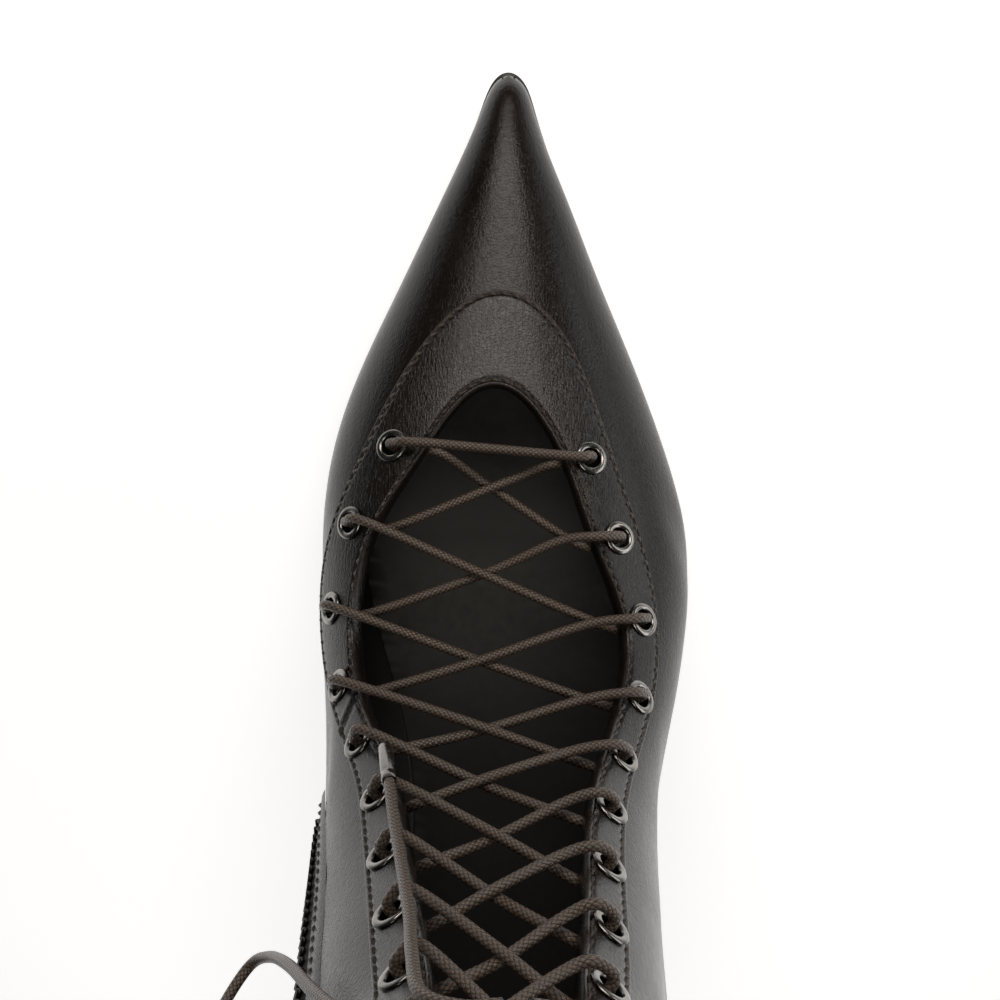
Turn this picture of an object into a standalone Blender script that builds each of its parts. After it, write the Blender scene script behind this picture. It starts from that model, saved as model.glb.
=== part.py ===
"""Pointed-toe lace-up ankle boot for the right foot.

The toe points to -Y, +X is the medial side and the boot stands on z = 0, with the origin under the ball
of the foot. Sizes are in millimetres, and every mesh is scaled to metres when its object is made.
"""
import math

import bmesh
import bpy
import numpy as np
from mathutils import Vector

MM = 0.001
GAP = 0.3
SIDES = {"medial": 1.0, "lateral": -1.0}

# Leather, sole and heel
WALL = 1.6
STAY_THICK = 1.0
SOLE_THICK = 3.0
SOLE_WELT = 1.0
INSOLE_THICK = 2.0
INSOLE_INSET = 2.9
TOP_LIFT_HEIGHT = 5.0

# Eyelets and lace
EYELET_PAIRS = 11
EYELET_PITCH = {"medial": 18.6, "lateral": 17.9}
EYELET_FIRST_Y = {"medial": -20.2, "lateral": -17.6}
EYELET_SHARE = 0.48
EYELET_OUTER_R = 3.6
EYELET_HOLE_R = 2.1
EYELET_BARREL_R = 2.5
LEATHER_HOLE_R = 3.05
FLANGE_LOW = 1.75
FLANGE_DISH = 0.12
FLANGE_HIGH = 2.45
LACE_R = 1.0
LACE_OVER = 3.7
LACE_UNDER = 3.8
EDGE_CLEAR = 1.5
CROSSING_OFFSET = 0.86
LACE_SIDES = 5
EYELET_SIDES = 8
HOLE_SIDES = 6
AGLET_R = 1.4
AGLET_LENGTH = 12.0

# Zip on the medial side, by the side view's (y, z)
ZIP_FOOT = (57.0, 53.0)
ZIP_HEAD = (92.0, 177.5)
ZIP_HALF_WIDTH = 3.2
ZIP_THICK = 1.3
SLOT_GAP = 0.45
SLIDER_DROP = 12.0
SLIDER_SIZE = (7.0, 10.0, 2.4)
PULL_SIZE = (5.0, 24.0, 1.2)
HINGE_R = 0.9

# One row a section, from the toe tip to the collar: the section's crest and base points in side view,
# its middle line in x, its half widths, the share of its height where it is widest, the half widths of
# the sole's feather line, the squareness of its crown, and the half gaps of throat and eyestay.
SECTION_COLUMNS = (
    "crest_y", "crest_z", "base_y", "base_z", "axis_x", "wide_in", "wide_out", "wide_at",
    "sole_in", "sole_out", "crown_in", "crown_out", "throat_in", "throat_out", "stay_in", "stay_out",
)
SECTIONS = (
    (-102.0, 11.5, -102.5, 7.8, -1.9, 0.0, 0.0, 0.40, 0.0, 0.0, 1.9, 1.9, 0, 0, 0, 0),
    (-99.5, 14.5, -100.0, 7.5, -1.9, 3.6, 3.6, 0.36, 3.2, 3.2, 1.9, 1.9, 0, 0, 0, 0),
    (-94.5, 17.5, -94.5, 7.0, -1.7, 5.9, 5.9, 0.34, 5.3, 5.4, 1.9, 1.9, 0, 0, 0, 0),
    (-85.0, 21.0, -85.0, 6.2, -1.3, 9.6, 9.6, 0.33, 8.8, 9.0, 1.9, 1.9, 0, 0, 0, 0),
    (-70.0, 25.2, -70.0, 5.0, -0.8, 16.3, 16.2, 0.33, 15.0, 15.3, 1.9, 1.9, 0, 0, 0, 0),
    (-53.5, 30.0, -53.5, 4.0, 0.0, 23.5, 23.5, 0.33, 21.5, 22.2, 1.95, 1.85, 0, 0, 0, 0),
    (-33.5, 36.0, -33.5, 3.3, 1.2, 31.6, 32.9, 0.34, 28.6, 30.6, 2.0, 1.8, 0, 0, 20.6, 19.8),
    (-16.0, 42.5, -15.5, 3.3, 1.0, 37.2, 39.0, 0.35, 32.6, 35.4, 2.0, 1.75, 17.6, 15.2, 29.6, 25.6),
    (0.0, 49.0, 3.0, 3.3, 0.6, 39.4, 42.6, 0.36, 33.2, 38.0, 1.95, 1.7, 27.4, 20.6, 36.4, 30.6),
    (15.0, 57.5, 21.0, 5.3, 0.5, 39.2, 42.2, 0.37, 30.5, 36.5, 1.9, 1.7, 29.8, 26.0, 37.8, 33.3),
    (26.5, 68.5, 41.0, 15.0, 0.5, 37.4, 38.5, 0.37, 24.0, 32.0, 1.9, 1.8, 27.0, 24.4, 34.2, 31.4),
    (34.0, 82.5, 62.0, 30.5, 0.5, 35.8, 33.5, 0.38, 20.0, 26.5, 1.9, 2.0, 20.4, 19.4, 27.6, 26.0),
    (40.0, 98.0, 85.0, 45.5, 0.6, 35.6, 31.8, 0.39, 22.0, 25.0, 1.95, 2.3, 16.4, 16.2, 23.8, 22.6),
    (44.6, 115.5, 109.0, 59.5, 0.8, 36.2, 31.4, 0.40, 26.0, 26.5, 2.0, 2.5, 13.2, 14.9, 21.0, 21.4),
    (47.6, 132.0, 131.0, 69.0, 1.0, 36.0, 31.2, 0.43, 24.3, 24.8, 2.0, 2.6, 10.4, 13.9, 18.6, 20.6),
    (48.8, 140.5, 147.5, 73.5, 1.0, 35.8, 31.1, 0.45, 0.0, 0.0, 2.0, 2.6, 9.2, 13.1, 17.6, 19.9),
    (49.5, 150.0, 148.5, 90.0, 1.0, 35.4, 31.0, 0.46, 0.0, 0.0, 2.0, 2.6, 8.6, 12.6, 17.2, 19.5),
    (50.0, 160.0, 145.5, 119.0, 1.0, 34.9, 30.9, 0.47, 0.0, 0.0, 2.0, 2.6, 8.4, 12.2, 17.0, 19.3),
    (50.3, 170.5, 141.5, 147.0, 1.0, 34.7, 31.0, 0.48, 0.0, 0.0, 2.0, 2.6, 8.4, 12.0, 17.0, 19.2),
    (50.6, 181.0, 139.5, 176.0, 1.0, 34.8, 31.3, 0.49, 0.0, 0.0, 2.0, 2.6, 8.8, 11.9, 17.4, 19.0),
)
STAY_ROW = 5
THROAT_ROW = 6
BALL_ROW = 8
SEAT_ROW = 14
HEEL_ROW = 15
CORNER_ROWS = 2
FEATHER_SHARE = 0.98
STAY_COLUMNS = 2
SIDE_COLUMNS = 7

# Rings of the slim heel from the seat (0) down to the top lift (1): level, front y, back y, half width
HEEL_RINGS = (
    (0.00, 99.0, 147.6, 24.4),
    (0.10, 106.0, 147.0, 21.0),
    (0.25, 112.5, 145.6, 16.6),
    (0.50, 118.5, 143.2, 11.6),
    (0.75, 121.8, 140.8, 8.8),
    (1.00, 123.0, 139.0, 7.8),
)
HEEL_SQUARENESS = 2.5
HEEL_SIDES = 20

# Free lace by hand: the bow hangs from the knot over the top eyelets
KNOT_CENTRE = (-2.0, 40.5, 177.0)
KNOT_RADII = (5.0, 3.4, 4.0)
KNOT_SIDES = 10
LOOP_MEDIAL = (
    (3.15, 40.3, 176.6), (11.0, 42.0, 176.0), (19.0, 46.5, 163.0), (26.5, 51.0, 145.0), (33.5, 56.0, 124.0),
    (39.5, 62.0, 107.0), (44.0, 66.5, 101.0), (48.0, 72.0, 107.0), (47.5, 73.0, 124.0), (43.5, 69.0, 145.0),
    (36.5, 62.0, 164.0), (26.5, 53.0, 178.0), (13.5, 44.0, 183.5), (2.95, 40.5, 179.6),
)
LOOP_LATERAL = (
    (-7.15, 40.3, 176.6), (-15.0, 42.5, 176.0), (-22.0, 48.5, 166.0), (-28.5, 57.0, 152.0),
    (-34.0, 67.0, 134.0), (-37.5, 77.0, 118.0), (-40.0, 86.0, 112.0), (-42.0, 91.0, 118.0),
    (-42.0, 88.0, 134.0), (-39.0, 78.0, 152.0), (-32.5, 65.0, 169.0), (-22.5, 52.5, 180.5),
    (-13.5, 44.0, 184.0), (-6.95, 40.5, 179.6),
)
END_MEDIAL = (
    (-0.2, 39.7, 172.85), (5.0, 41.0, 170.5), (10.3, 41.6, 165.0), (12.2, 42.0, 152.0), (13.3, 42.2, 139.0),
    (15.0, 41.2, 126.0), (16.9, 39.6, 113.0), (18.4, 37.4, 103.5), (19.6, 35.0, 95.0),
)
END_LATERAL = (
    (-3.8, 39.7, 172.85), (-11.5, 43.2, 167.5), (-20.0, 47.2, 160.0), (-27.0, 53.0, 150.0),
    (-32.0, 61.0, 138.0), (-35.0, 69.0, 124.0), (-36.5, 74.0, 110.0),
)


def clear_scene():
    """Remove every object of the open scene."""
    for item in list(bpy.data.objects):
        bpy.data.objects.remove(item, do_unlink=True)


def make_material(name, colour, roughness, metallic=0.0):
    """Return a Principled material with one colour, roughness and metallic value."""
    material = bpy.data.materials.new(name)
    material.use_nodes = True
    shader = material.node_tree.nodes["Principled BSDF"]
    shader.inputs["Base Color"].default_value = (*colour, 1.0)
    shader.inputs["Roughness"].default_value = roughness
    shader.inputs["Metallic"].default_value = metallic
    return material


def natural_spline(knots, values):
    """Return the natural cubic spline through the values as a function of the knots."""
    count, step = len(knots), np.diff(knots)
    system, target = np.eye(count), np.zeros(count)
    for i in range(1, count - 1):
        system[i, i - 1:i + 2] = step[i - 1], 2.0 * (step[i - 1] + step[i]), step[i]
        target[i] = 6.0 * ((values[i + 1] - values[i]) / step[i] - (values[i] - values[i - 1]) / step[i - 1])
    bend = np.linalg.solve(system, target)

    def curve(at):
        i = int(np.clip(np.searchsorted(knots, at) - 1, 0, count - 2))
        low = (knots[i + 1] - at) / step[i]
        high = 1.0 - low
        swing = (low ** 3 - low) * bend[i] + (high ** 3 - high) * bend[i + 1]
        return low * values[i] + high * values[i + 1] + swing * step[i] ** 2 / 6.0

    return curve


def steady_spline(knots, values):
    """Return a cubic curve through the values that stays flat where neighbouring values are equal."""
    step = np.diff(knots)
    rise = np.diff(values) / step
    slope = np.zeros(len(knots))
    slope[0], slope[-1] = rise[0], rise[-1]
    for i in range(1, len(knots) - 1):
        if rise[i - 1] * rise[i] > 0.0:
            slope[i] = 2.0 * rise[i - 1] * rise[i] / (rise[i - 1] + rise[i])

    def curve(at):
        i = int(np.clip(np.searchsorted(knots, at) - 1, 0, len(knots) - 2))
        u = (at - knots[i]) / step[i]
        start = (1.0 + 2.0 * u) * (1.0 - u) ** 2 * values[i] + u * (1.0 - u) ** 2 * step[i] * slope[i]
        end = u * u * (3.0 - 2.0 * u) * values[i + 1] + u * u * (u - 1.0) * step[i] * slope[i + 1]
        return start + end

    return curve


def rooted(curve):
    """Return the square root of a curve, so that a half width closes in a round end."""
    return lambda at: math.sqrt(max(curve(at), 0.0))


class Last:
    """Outside of the boot as a fan of half sections; s runs from the toe (0) to the collar (1)."""

    def __init__(self):
        table = {name: np.array(column) for name, column in zip(SECTION_COLUMNS, zip(*SECTIONS))}
        middle = np.stack([table["crest_y"] + table["base_y"], table["crest_z"] + table["base_z"]], 1) / 2.0
        run = np.concatenate([[0.0], np.cumsum(np.linalg.norm(np.diff(middle, axis=0), axis=1))])
        self.knots = run / run[-1]
        self.stay_front, self.throat_front = self.knots[STAY_ROW], self.knots[THROAT_ROW]
        self.ball, self.seat, self.heel = (self.knots[row] for row in (BALL_ROW, SEAT_ROW, HEEL_ROW))
        whole, below, above = slice(None), slice(None, HEEL_ROW + 1), slice(HEEL_ROW, None)
        self.curves = {}
        for name in ("crest_y", "crest_z", "axis_x", "wide_at", "crown_in", "crown_out"):
            self.curves[name] = natural_spline(self.knots, table[name])
        squared = {"wide": whole, "sole": below,
                   "throat": slice(THROAT_ROW, None), "stay": slice(STAY_ROW, None)}
        for stem, rows in squared.items():
            for end in ("_in", "_out"):
                spline = natural_spline(self.knots[rows], table[stem + end][rows] ** 2)
                self.curves[stem + end] = rooted(spline)
        self.under = [natural_spline(self.knots[below], table["base_y"][below]),
                      steady_spline(self.knots[below], table["base_z"][below])]
        self.back = [natural_spline(self.knots[above], table[name][above]) for name in ("base_y", "base_z")]

    def slowed(self, s):
        """Return s as the base runs: it slows to a stop at the heel's corner, so the wall stays smooth."""
        far = self.knots[HEEL_ROW + (CORNER_ROWS if s > self.heel else -CORNER_ROWS)]
        u = (s - self.heel) / (far - self.heel)
        return s if u >= 1.0 else self.heel + (far - self.heel) * u * u * (2.0 - u)

    def base(self, s):
        """Return the base point (y, z): along the sole up to the heel, then up the back seam."""
        return np.array([curve(self.slowed(s)) for curve in (self.under if s <= self.heel else self.back)])

    def crest(self, s):
        """Return the crest point (y, z) of a section."""
        return np.array([self.curves["crest_y"](s), self.curves["crest_z"](s)])

    def size(self, stem, s, side):
        """Return a half width of one side, or zero outside the stretch that it covers."""
        covered = {"sole": s <= self.heel, "throat": s >= self.throat_front, "stay": s >= self.stay_front}
        if not covered.get(stem, True):
            return 0.0
        return self.curves[stem + ("_in" if side > 0 else "_out")](self.slowed(s) if stem == "sole" else s)

    def share_at(self, s, side, half_x):
        """Return the share q of the half section, 0 at the crest and 1 at the base, at a crown half width."""
        wide = self.size("wide", s, side)
        if half_x <= 0.0 or wide <= 0.0:
            return 0.0
        crown = self.curves["crown_in" if side > 0 else "crown_out"](s)
        return 0.5 - math.acos(min(half_x / wide, 1.0) ** (crown / 2.0)) / math.pi

    def point(self, s, side, q):
        """Return the surface point of one half section at share q."""
        wide, sole = self.size("wide", s, side), self.size("sole", s, side)
        wide_at = self.curves["wide_at"](s)
        if q <= 0.5:
            power = 2.0 / self.curves["crown_in" if side > 0 else "crown_out"](s)
            angle = math.pi * (0.5 - q)
            half_x = wide * max(math.cos(angle), 0.0) ** power
            height = wide_at + (1.0 - wide_at) * math.sin(angle) ** power
        else:
            lean = math.asin(min(sole / wide, FEATHER_SHARE)) if wide > 0.0 else 0.0
            angle = math.pi / 2.0 - (math.pi / 2.0 - lean) * (q - 0.5) * 2.0
            half_x = wide * math.sin(angle)
            height = wide_at * (math.cos(lean) - math.cos(angle)) / math.cos(lean)
        y, z = self.base(s) + (self.crest(s) - self.base(s)) * height
        return np.array([self.curves["axis_x"](s) + side * half_x, y, z])

    def normal(self, s, side, q):
        """Return the outward unit normal at a surface point."""
        ds, dq = 0.004, 0.01
        low, high = max(q - dq, 0.0), min(q + dq, 1.0)
        along = self.point(min(s + ds, 1.0), side, q) - self.point(s - ds, side, q)
        across = self.point(s, side, high) - self.point(s, side, low)
        normal = np.cross(across, along) * side
        return normal / np.linalg.norm(normal)

    def side_place(self, y, z, side):
        """Return (s, q) of the surface point that the side view shows at (y, z)."""
        low, high = self.throat_front, 1.0
        for _ in range(40):
            s = (low + high) / 2.0
            base, rise = self.base(s), self.crest(s) - self.base(s)
            ahead = rise[1] * (y - base[0]) - rise[0] * (z - base[1])
            low, high = (s, high) if ahead > 0.0 else (low, s)
        height = float(np.dot(np.array([y, z]) - base, rise) / np.dot(rise, rise))
        q_low, q_high = 0.0, 1.0
        for _ in range(40):
            q = (q_low + q_high) / 2.0
            tall = np.dot(self.point(s, side, q)[1:] - base, rise) / np.dot(rise, rise)
            q_low, q_high = (q, q_high) if tall > height else (q_low, q)
        return s, q


def spaced(start, end, count, power=1.0):
    """Return count values from start up to, not including, end; a power over 1 crowds them at the start."""
    return [start + (end - start) * (i / count) ** power for i in range(count)]


def crowded_end(start, end, count, power=2.0):
    """Return count values from start up to, not including, end, crowded at the end."""
    return [end - (end - start) * (1.0 - i / count) ** power for i in range(count)]


def section_rows(last):
    """Return the s values of the upper's grid, crowded where an edge turns round."""
    rows = spaced(0.0, last.stay_front, 6, 1.6) + spaced(last.stay_front, last.throat_front, 5, 1.4)
    rows += spaced(last.throat_front, last.ball, 5, 1.5) + spaced(last.ball, last.seat, 9)
    return rows + crowded_end(last.seat, last.heel, 3, 1.0) + spaced(last.heel, 1.0, 6) + [1.0]


def weld(points, faces):
    """Merge equal points and drop the faces that collapse."""
    keys, index, kept = {}, [], []
    for point in points:
        key = tuple(np.round(point, 4))
        if key not in keys:
            keys[key] = len(kept)
            kept.append(point)
        index.append(keys[key])
    merged = []
    for face in faces:
        ring = [index[i] for i in face]
        ring = [v for i, v in enumerate(ring) if v != ring[i - 1]]
        if len(set(ring)) >= 3:
            merged.append(tuple(ring))
    return np.array(kept), merged


def grid_faces(rows, columns, start=0, flip=False):
    """Return the triangles of a grid whose points are stored row after row, each cell split the same way."""
    faces = []
    for r in range(rows - 1):
        for c in range(columns - 1):
            a = start + r * columns + c
            below = a + columns
            for ring in ((a, a + 1, below), (a + 1, below + 1, below)):
                faces.append(ring[::-1] if flip else ring)
    return faces


def vertex_normals(points, faces):
    """Return area-weighted unit normals at the points of a surface."""
    normals = np.zeros_like(points)
    for face in faces:
        ring = points[list(face)]
        area = sum(np.cross(ring[i] - ring[0], ring[i + 1] - ring[0]) for i in range(1, len(face) - 1))
        normals[list(face)] += area
    return normals / np.linalg.norm(normals, axis=1)[:, None]


def thick_sheet(points, faces, near, far):
    """Close a surface into a wall between two offsets along its normals, far outside near."""
    normals = vertex_normals(points, faces)
    count = len(points)
    solid = np.concatenate([points + normals * far, points + normals * near])
    shell = list(faces) + [tuple(i + count for i in reversed(face)) for face in faces]
    edges = {(face[i - 1], face[i]) for face in faces for i in range(len(face))}
    for a, b in edges:
        if (b, a) not in edges:
            shell.append((b, a, a + count, b + count))
    return solid, shell


def add_object(name, points, faces, material, parent=None, origin=(0.0, 0.0, 0.0)):
    """Make a mesh object in metres from points in millimetres, with its origin at a given place."""
    mesh = bpy.data.meshes.new(name)
    local = (np.asarray(points) - np.asarray(origin)) * MM
    mesh.from_pydata([tuple(map(float, point)) for point in local], [], faces)
    work = bmesh.new()
    work.from_mesh(mesh)
    bmesh.ops.triangulate(work, faces=[face for face in work.faces if len(face.verts) > 4])
    bmesh.ops.recalc_face_normals(work, faces=work.faces)
    work.to_mesh(mesh)
    work.free()
    mesh.shade_smooth()
    mesh.set_sharp_from_angle(angle=math.radians(40.0))
    item = bpy.data.objects.new(name, mesh)
    item.location = Vector(origin) * MM
    bpy.context.scene.collection.objects.link(item)
    if material is not None:
        mesh.materials.append(material)
    item.parent = parent
    return item


def add_boolean(item, other, operation):
    """Give an object a Boolean with a hidden helper object."""
    other.hide_render = True
    other.display_type = "WIRE"
    modifier = item.modifiers.new(operation.title(), "BOOLEAN")
    modifier.object = other
    modifier.operation = operation
    modifier.solver = "EXACT"


def side_shares(stay, columns):
    """Return shares from the eyestay's edge to the feather line; only those near the edge move with it."""
    power = min(4.0, 0.6 / max(stay, 0.01))
    return [i / columns + stay * (1.0 - i / columns) ** power for i in range(columns + 1)]


def upper_surface(last, stay_columns=STAY_COLUMNS, side_columns=SIDE_COLUMNS):
    """Return points and faces of the upper's outside, open at throat, collar and feather line."""
    rows = section_rows(last)
    points, faces = [], []
    for side in SIDES.values():
        start = len(points)
        for s in rows:
            edge = last.share_at(s, side, last.size("throat", s, side))
            stay = last.share_at(s, side, last.size("stay", s, side))
            shares = spaced(edge, stay, stay_columns) + side_shares(stay, side_columns)
            points += [last.point(s, side, q) for q in shares]
        faces += grid_faces(len(rows), stay_columns + side_columns + 1, start, flip=side < 0)
    return weld(points, faces)


def stay_surface(last, columns=STAY_COLUMNS):
    """Return points and faces of the strip of the upper's outside that the eyestay covers."""
    rows = [s for s in section_rows(last) if s >= last.stay_front]
    points, faces = [], []
    for side in SIDES.values():
        start = len(points)
        for s in rows:
            edge = last.share_at(s, side, last.size("throat", s, side))
            stay = last.share_at(s, side, last.size("stay", s, side))
            points += [last.point(s, side, q) for q in spaced(edge, stay, columns) + [stay]]
        faces += grid_faces(len(rows), columns + 1, start, flip=side < 0)
    return weld(points, faces)


def sole_height(last, y):
    """Return the feather line's height at plan positions y, straight between the rows and beyond its ends."""
    line = [last.base(s) for s in section_rows(last) if s <= last.heel]
    line = [2.0 * line[0] - line[1]] + line + [3.0 * line[-1] - 2.0 * line[-2]]
    return np.interp(y, *np.array(line).T)


def sole_outline(last, offset, start_width=0.0):
    """Return (medial, lateral) point lists of the feather line moved outward by offset, in plan with z."""
    rows = [s for s in section_rows(last) if s <= last.heel and last.size("sole", s, 1.0) >= start_width]
    if rows[-1] != last.heel:
        rows.append(last.heel)
    lines = []
    for side in SIDES.values():
        line = np.array([last.point(s, side, 1.0) for s in rows])
        ahead = np.gradient(line[:, :2], axis=0)
        if start_width == 0.0:
            ahead[0] = (side, 0.0)
        ahead[-1] = (-side, 0.0)
        ahead /= np.linalg.norm(ahead, axis=1)[:, None]
        outward = np.stack([ahead[:, 1], -ahead[:, 0]], 1) * side
        line[:, :2] += outward * offset
        line[:, 2] = sole_height(last, line[:, 1])
        lines.append(line)
    return lines


def slab(lines, low, high, bevel=0.0, columns=1):
    """Return a closed slab between two offsets in z from the lines' heights, with a bevelled lower edge."""
    medial, lateral = lines
    rows = len(medial)
    shares = np.linspace(0.0, 1.0, columns + 1)
    top = [[a + (b - a) * u + (0, 0, high) for u in shares] for a, b in zip(medial, lateral)]
    bottom = []
    for a, b in zip(medial, lateral):
        width = max(np.linalg.norm(b - a), 1e-6)
        inset = min(bevel / width, 0.25)
        spread = inset + shares * (1.0 - 2.0 * inset)
        bottom.append([a + (b - a) * u + (0, 0, low) for u in spread])
    points = np.concatenate([np.array(top).reshape(-1, 3), np.array(bottom).reshape(-1, 3)])
    wide = columns + 1
    faces = grid_faces(rows, wide) + grid_faces(rows, wide, rows * wide, flip=True)
    rim = [r * wide for r in range(rows)]
    rim += [(rows - 1) * wide + c for c in range(1, wide)]
    rim += [r * wide + columns for r in range(rows - 2, -1, -1)]
    rim += list(range(columns - 1, 0, -1))
    faces += [(a, b, b + rows * wide, a + rows * wide) for a, b in zip(rim, rim[1:] + rim[:1])]
    return weld(points, faces)


def ring_loft(rings):
    """Return a closed solid through rings of equal point counts, capped at both ends."""
    count = len(rings[0])
    points = np.concatenate(rings)
    faces = []
    for level in range(len(rings) - 1):
        for i in range(count):
            a, b = level * count + i, level * count + (i + 1) % count
            faces.append((a, b, b + count, a + count))
    last_ring = (len(rings) - 1) * count
    for i in range((count - 1) // 2):
        strip = tuple(dict.fromkeys((i, i + 1, count - 2 - i, count - 1 - i)))
        faces += [strip[::-1], tuple(last_ring + corner for corner in strip)]
    return points, faces


def heel_ring(last, ring):
    """Return one ring of the heel, between the sole's underside and the top lift."""
    level, front, back, half_width = ring
    foot = TOP_LIFT_HEIGHT + GAP
    points = []
    for i in range(HEEL_SIDES):
        angle = 2.0 * math.pi * (i + 0.5) / HEEL_SIDES - math.pi / 2.0
        c, s = math.cos(angle), math.sin(angle)
        x = half_width * math.copysign(abs(c) ** (2.0 / HEEL_SQUARENESS), c)
        y = (front + back) / 2.0 + (back - front) / 2.0 * math.copysign(abs(s) ** (2.0 / HEEL_SQUARENESS), s)
        seat = sole_height(last, y) - GAP - SOLE_THICK - GAP
        points.append((x, y, seat + (foot - seat) * level))
    return np.array(points)


def smooth_path(route, step):
    """Return points at about one step along a Catmull-Rom curve through the route's points."""
    route = [np.array(point, float) for point in route]
    ends = [2.0 * route[0] - route[1]] + route + [2.0 * route[-1] - route[-2]]
    path = []
    for p, a, b, n in zip(ends, ends[1:], ends[2:], ends[3:]):
        count = max(1, round(np.linalg.norm(b - a) / step))
        for u in (i / count for i in range(count)):
            cubic = (3.0 * a - 3.0 * b + n - p) * u ** 3
            path.append(0.5 * (2.0 * a + (b - p) * u + (2.0 * p - 5.0 * a + 4.0 * b - n) * u ** 2 + cubic))
    return path + [route[-1]]


def tube(path, radius, sides=LACE_SIDES):
    """Return a closed round tube along a path."""
    path = np.array(path)
    ahead = np.gradient(path, axis=0)
    ahead /= np.linalg.norm(ahead, axis=1)[:, None]
    across = np.cross(ahead[0], (0.0, 0.0, 1.0))
    if np.linalg.norm(across) < 0.1:
        across = np.cross(ahead[0], (0.0, 1.0, 0.0))
    turns = [2.0 * math.pi * i / sides for i in range(sides)]
    rings = []
    for point, forward in zip(path, ahead):
        across = across - forward * np.dot(across, forward)
        across /= np.linalg.norm(across)
        upward = np.cross(forward, across)
        ring = [point + radius * (math.cos(t) * across + math.sin(t) * upward) for t in turns]
        rings.append(np.array(ring))
    return ring_loft(rings)


def cord_object(name, route, radius, material, parent):
    """Make a free stretch of lace as a bevelled poly curve with filled caps."""
    path = smooth_path(route, 7.5)
    curve = bpy.data.curves.new(name, "CURVE")
    curve.dimensions = "3D"
    curve.bevel_depth = radius * MM
    curve.bevel_resolution = 2
    curve.use_fill_caps = True
    spline = curve.splines.new("POLY")
    spline.points.add(len(path) - 1)
    for target, point in zip(spline.points, path):
        target.co = (*(point * MM), 1.0)
    curve.materials.append(material)
    item = bpy.data.objects.new(name, curve)
    bpy.context.scene.collection.objects.link(item)
    item.parent = parent
    return item


def turned(profile, centre, axis, sides):
    """Return a closed ring turned about an axis from a profile of (radius, height) points."""
    axis = np.array(axis) / np.linalg.norm(axis)
    across = np.cross(axis, (0.0, 0.0, 1.0) if abs(axis[2]) < 0.8 else (0.0, 1.0, 0.0))
    across /= np.linalg.norm(across)
    upward = np.cross(axis, across)
    points, faces, count = [], [], len(profile)
    for i in range(sides):
        angle = 2.0 * math.pi * i / sides
        spoke = math.cos(angle) * across + math.sin(angle) * upward
        points += [centre + spoke * radius + axis * height for radius, height in profile]
        for j in range(count):
            a, b = i * count + j, i * count + (j + 1) % count
            step = ((i + 1) % sides - i) * count
            faces.append((a, b, b + step, a + step))
    return np.array(points), faces


class Eyelet:
    """Place of one eyelet: its point on the upper, outward normal, and way to the throat's edge."""

    def __init__(self, last, side, s):
        edge = last.share_at(s, side, last.size("throat", s, side))
        stay = last.share_at(s, side, last.size("stay", s, side))
        q = edge + (stay - edge) * EYELET_SHARE
        self.point = last.point(s, side, q)
        self.normal = last.normal(s, side, q)
        rim = last.point(s, side, edge)
        inward = rim - self.point
        inward -= self.normal * np.dot(inward, self.normal)
        self.reach = np.linalg.norm(inward)
        self.inward = inward / self.reach

    def at(self, toward, height):
        """Return the point a distance toward the throat and a height above the upper's outside."""
        return self.point + self.inward * toward + self.normal * height


def place_eyelets(last, side, first_y, pitch):
    """Return the eyelets of one side at an even pitch along the facing."""
    low, high = last.throat_front + 0.001, last.ball
    for _ in range(30):
        s = (low + high) / 2.0
        low, high = (s, high) if Eyelet(last, side, s).point[1] < first_y else (low, s)
    row = [Eyelet(last, side, s)]
    while len(row) < EYELET_PAIRS:
        before = s
        low, high = before, min(before + 0.15, 1.0)
        for _ in range(30):
            s = (low + high) / 2.0
            far = np.linalg.norm(Eyelet(last, side, s).point - row[-1].point)
            low, high = (s, high) if far < pitch else (low, s)
        row.append(Eyelet(last, side, s))
    return row


def over_route(eyelet):
    """Return the lace's way out of an eyelet and over its own facing edge."""
    steps = ((0.0, 0.15), (0.2, 2.4), (1.7, LACE_OVER), (eyelet.reach + EDGE_CLEAR, LACE_OVER))
    return [eyelet.at(toward, height) for toward, height in steps]


def under_route(eyelet):
    """Return the lace's way from an eyelet's inside and under the facing edge."""
    steps = ((0.0, -0.15), (0.2, -2.4), (1.7, -LACE_UNDER), (eyelet.reach + EDGE_CLEAR, -LACE_UNDER))
    return [eyelet.at(toward, height) for toward, height in steps]


def crossing_routes(eyelets, k):
    """Return the two lace strands between eyelet pairs k and k + 1, the upper strand first."""
    upper_from = "lateral" if k % 2 == 0 else "medial"
    lower_from = "medial" if k % 2 == 0 else "lateral"
    ends = []
    for start in (upper_from, lower_from):
        goal = "medial" if start == "lateral" else "lateral"
        leave = under_route(eyelets[start][k]) if k == 0 else over_route(eyelets[start][k])
        ends.append((leave, under_route(eyelets[goal][k + 1])))
    routes = []
    spans = [(leave[-1], arrive[-1]) for leave, arrive in ends]
    share = crossing_share(spans)
    middles = [a + (b - a) * u for (a, b), u in zip(spans, share)]
    lift = np.cross(spans[0][1] - spans[0][0], spans[1][1] - spans[1][0])
    lift /= np.linalg.norm(lift)
    if np.dot(lift, eyelets["medial"][k].normal + eyelets["lateral"][k].normal) < 0.0:
        lift = -lift
    centre = (middles[0] + middles[1]) / 2.0
    for (leave, arrive), height in zip(ends, (CROSSING_OFFSET, -CROSSING_OFFSET)):
        routes.append(leave + [centre + lift * height] + arrive[::-1])
    return routes


def crossing_share(spans):
    """Return the shares along two straight spans where they pass closest to each other."""
    (a, b), (c, d) = spans
    u, v, w = b - a, d - c, a - c
    uu, uv, vv = np.dot(u, u), np.dot(u, v), np.dot(v, v)
    low = uu * vv - uv * uv
    first = (uv * np.dot(v, w) - vv * np.dot(u, w)) / low
    second = (uu * np.dot(v, w) - uv * np.dot(u, w)) / low
    return first, second


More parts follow.
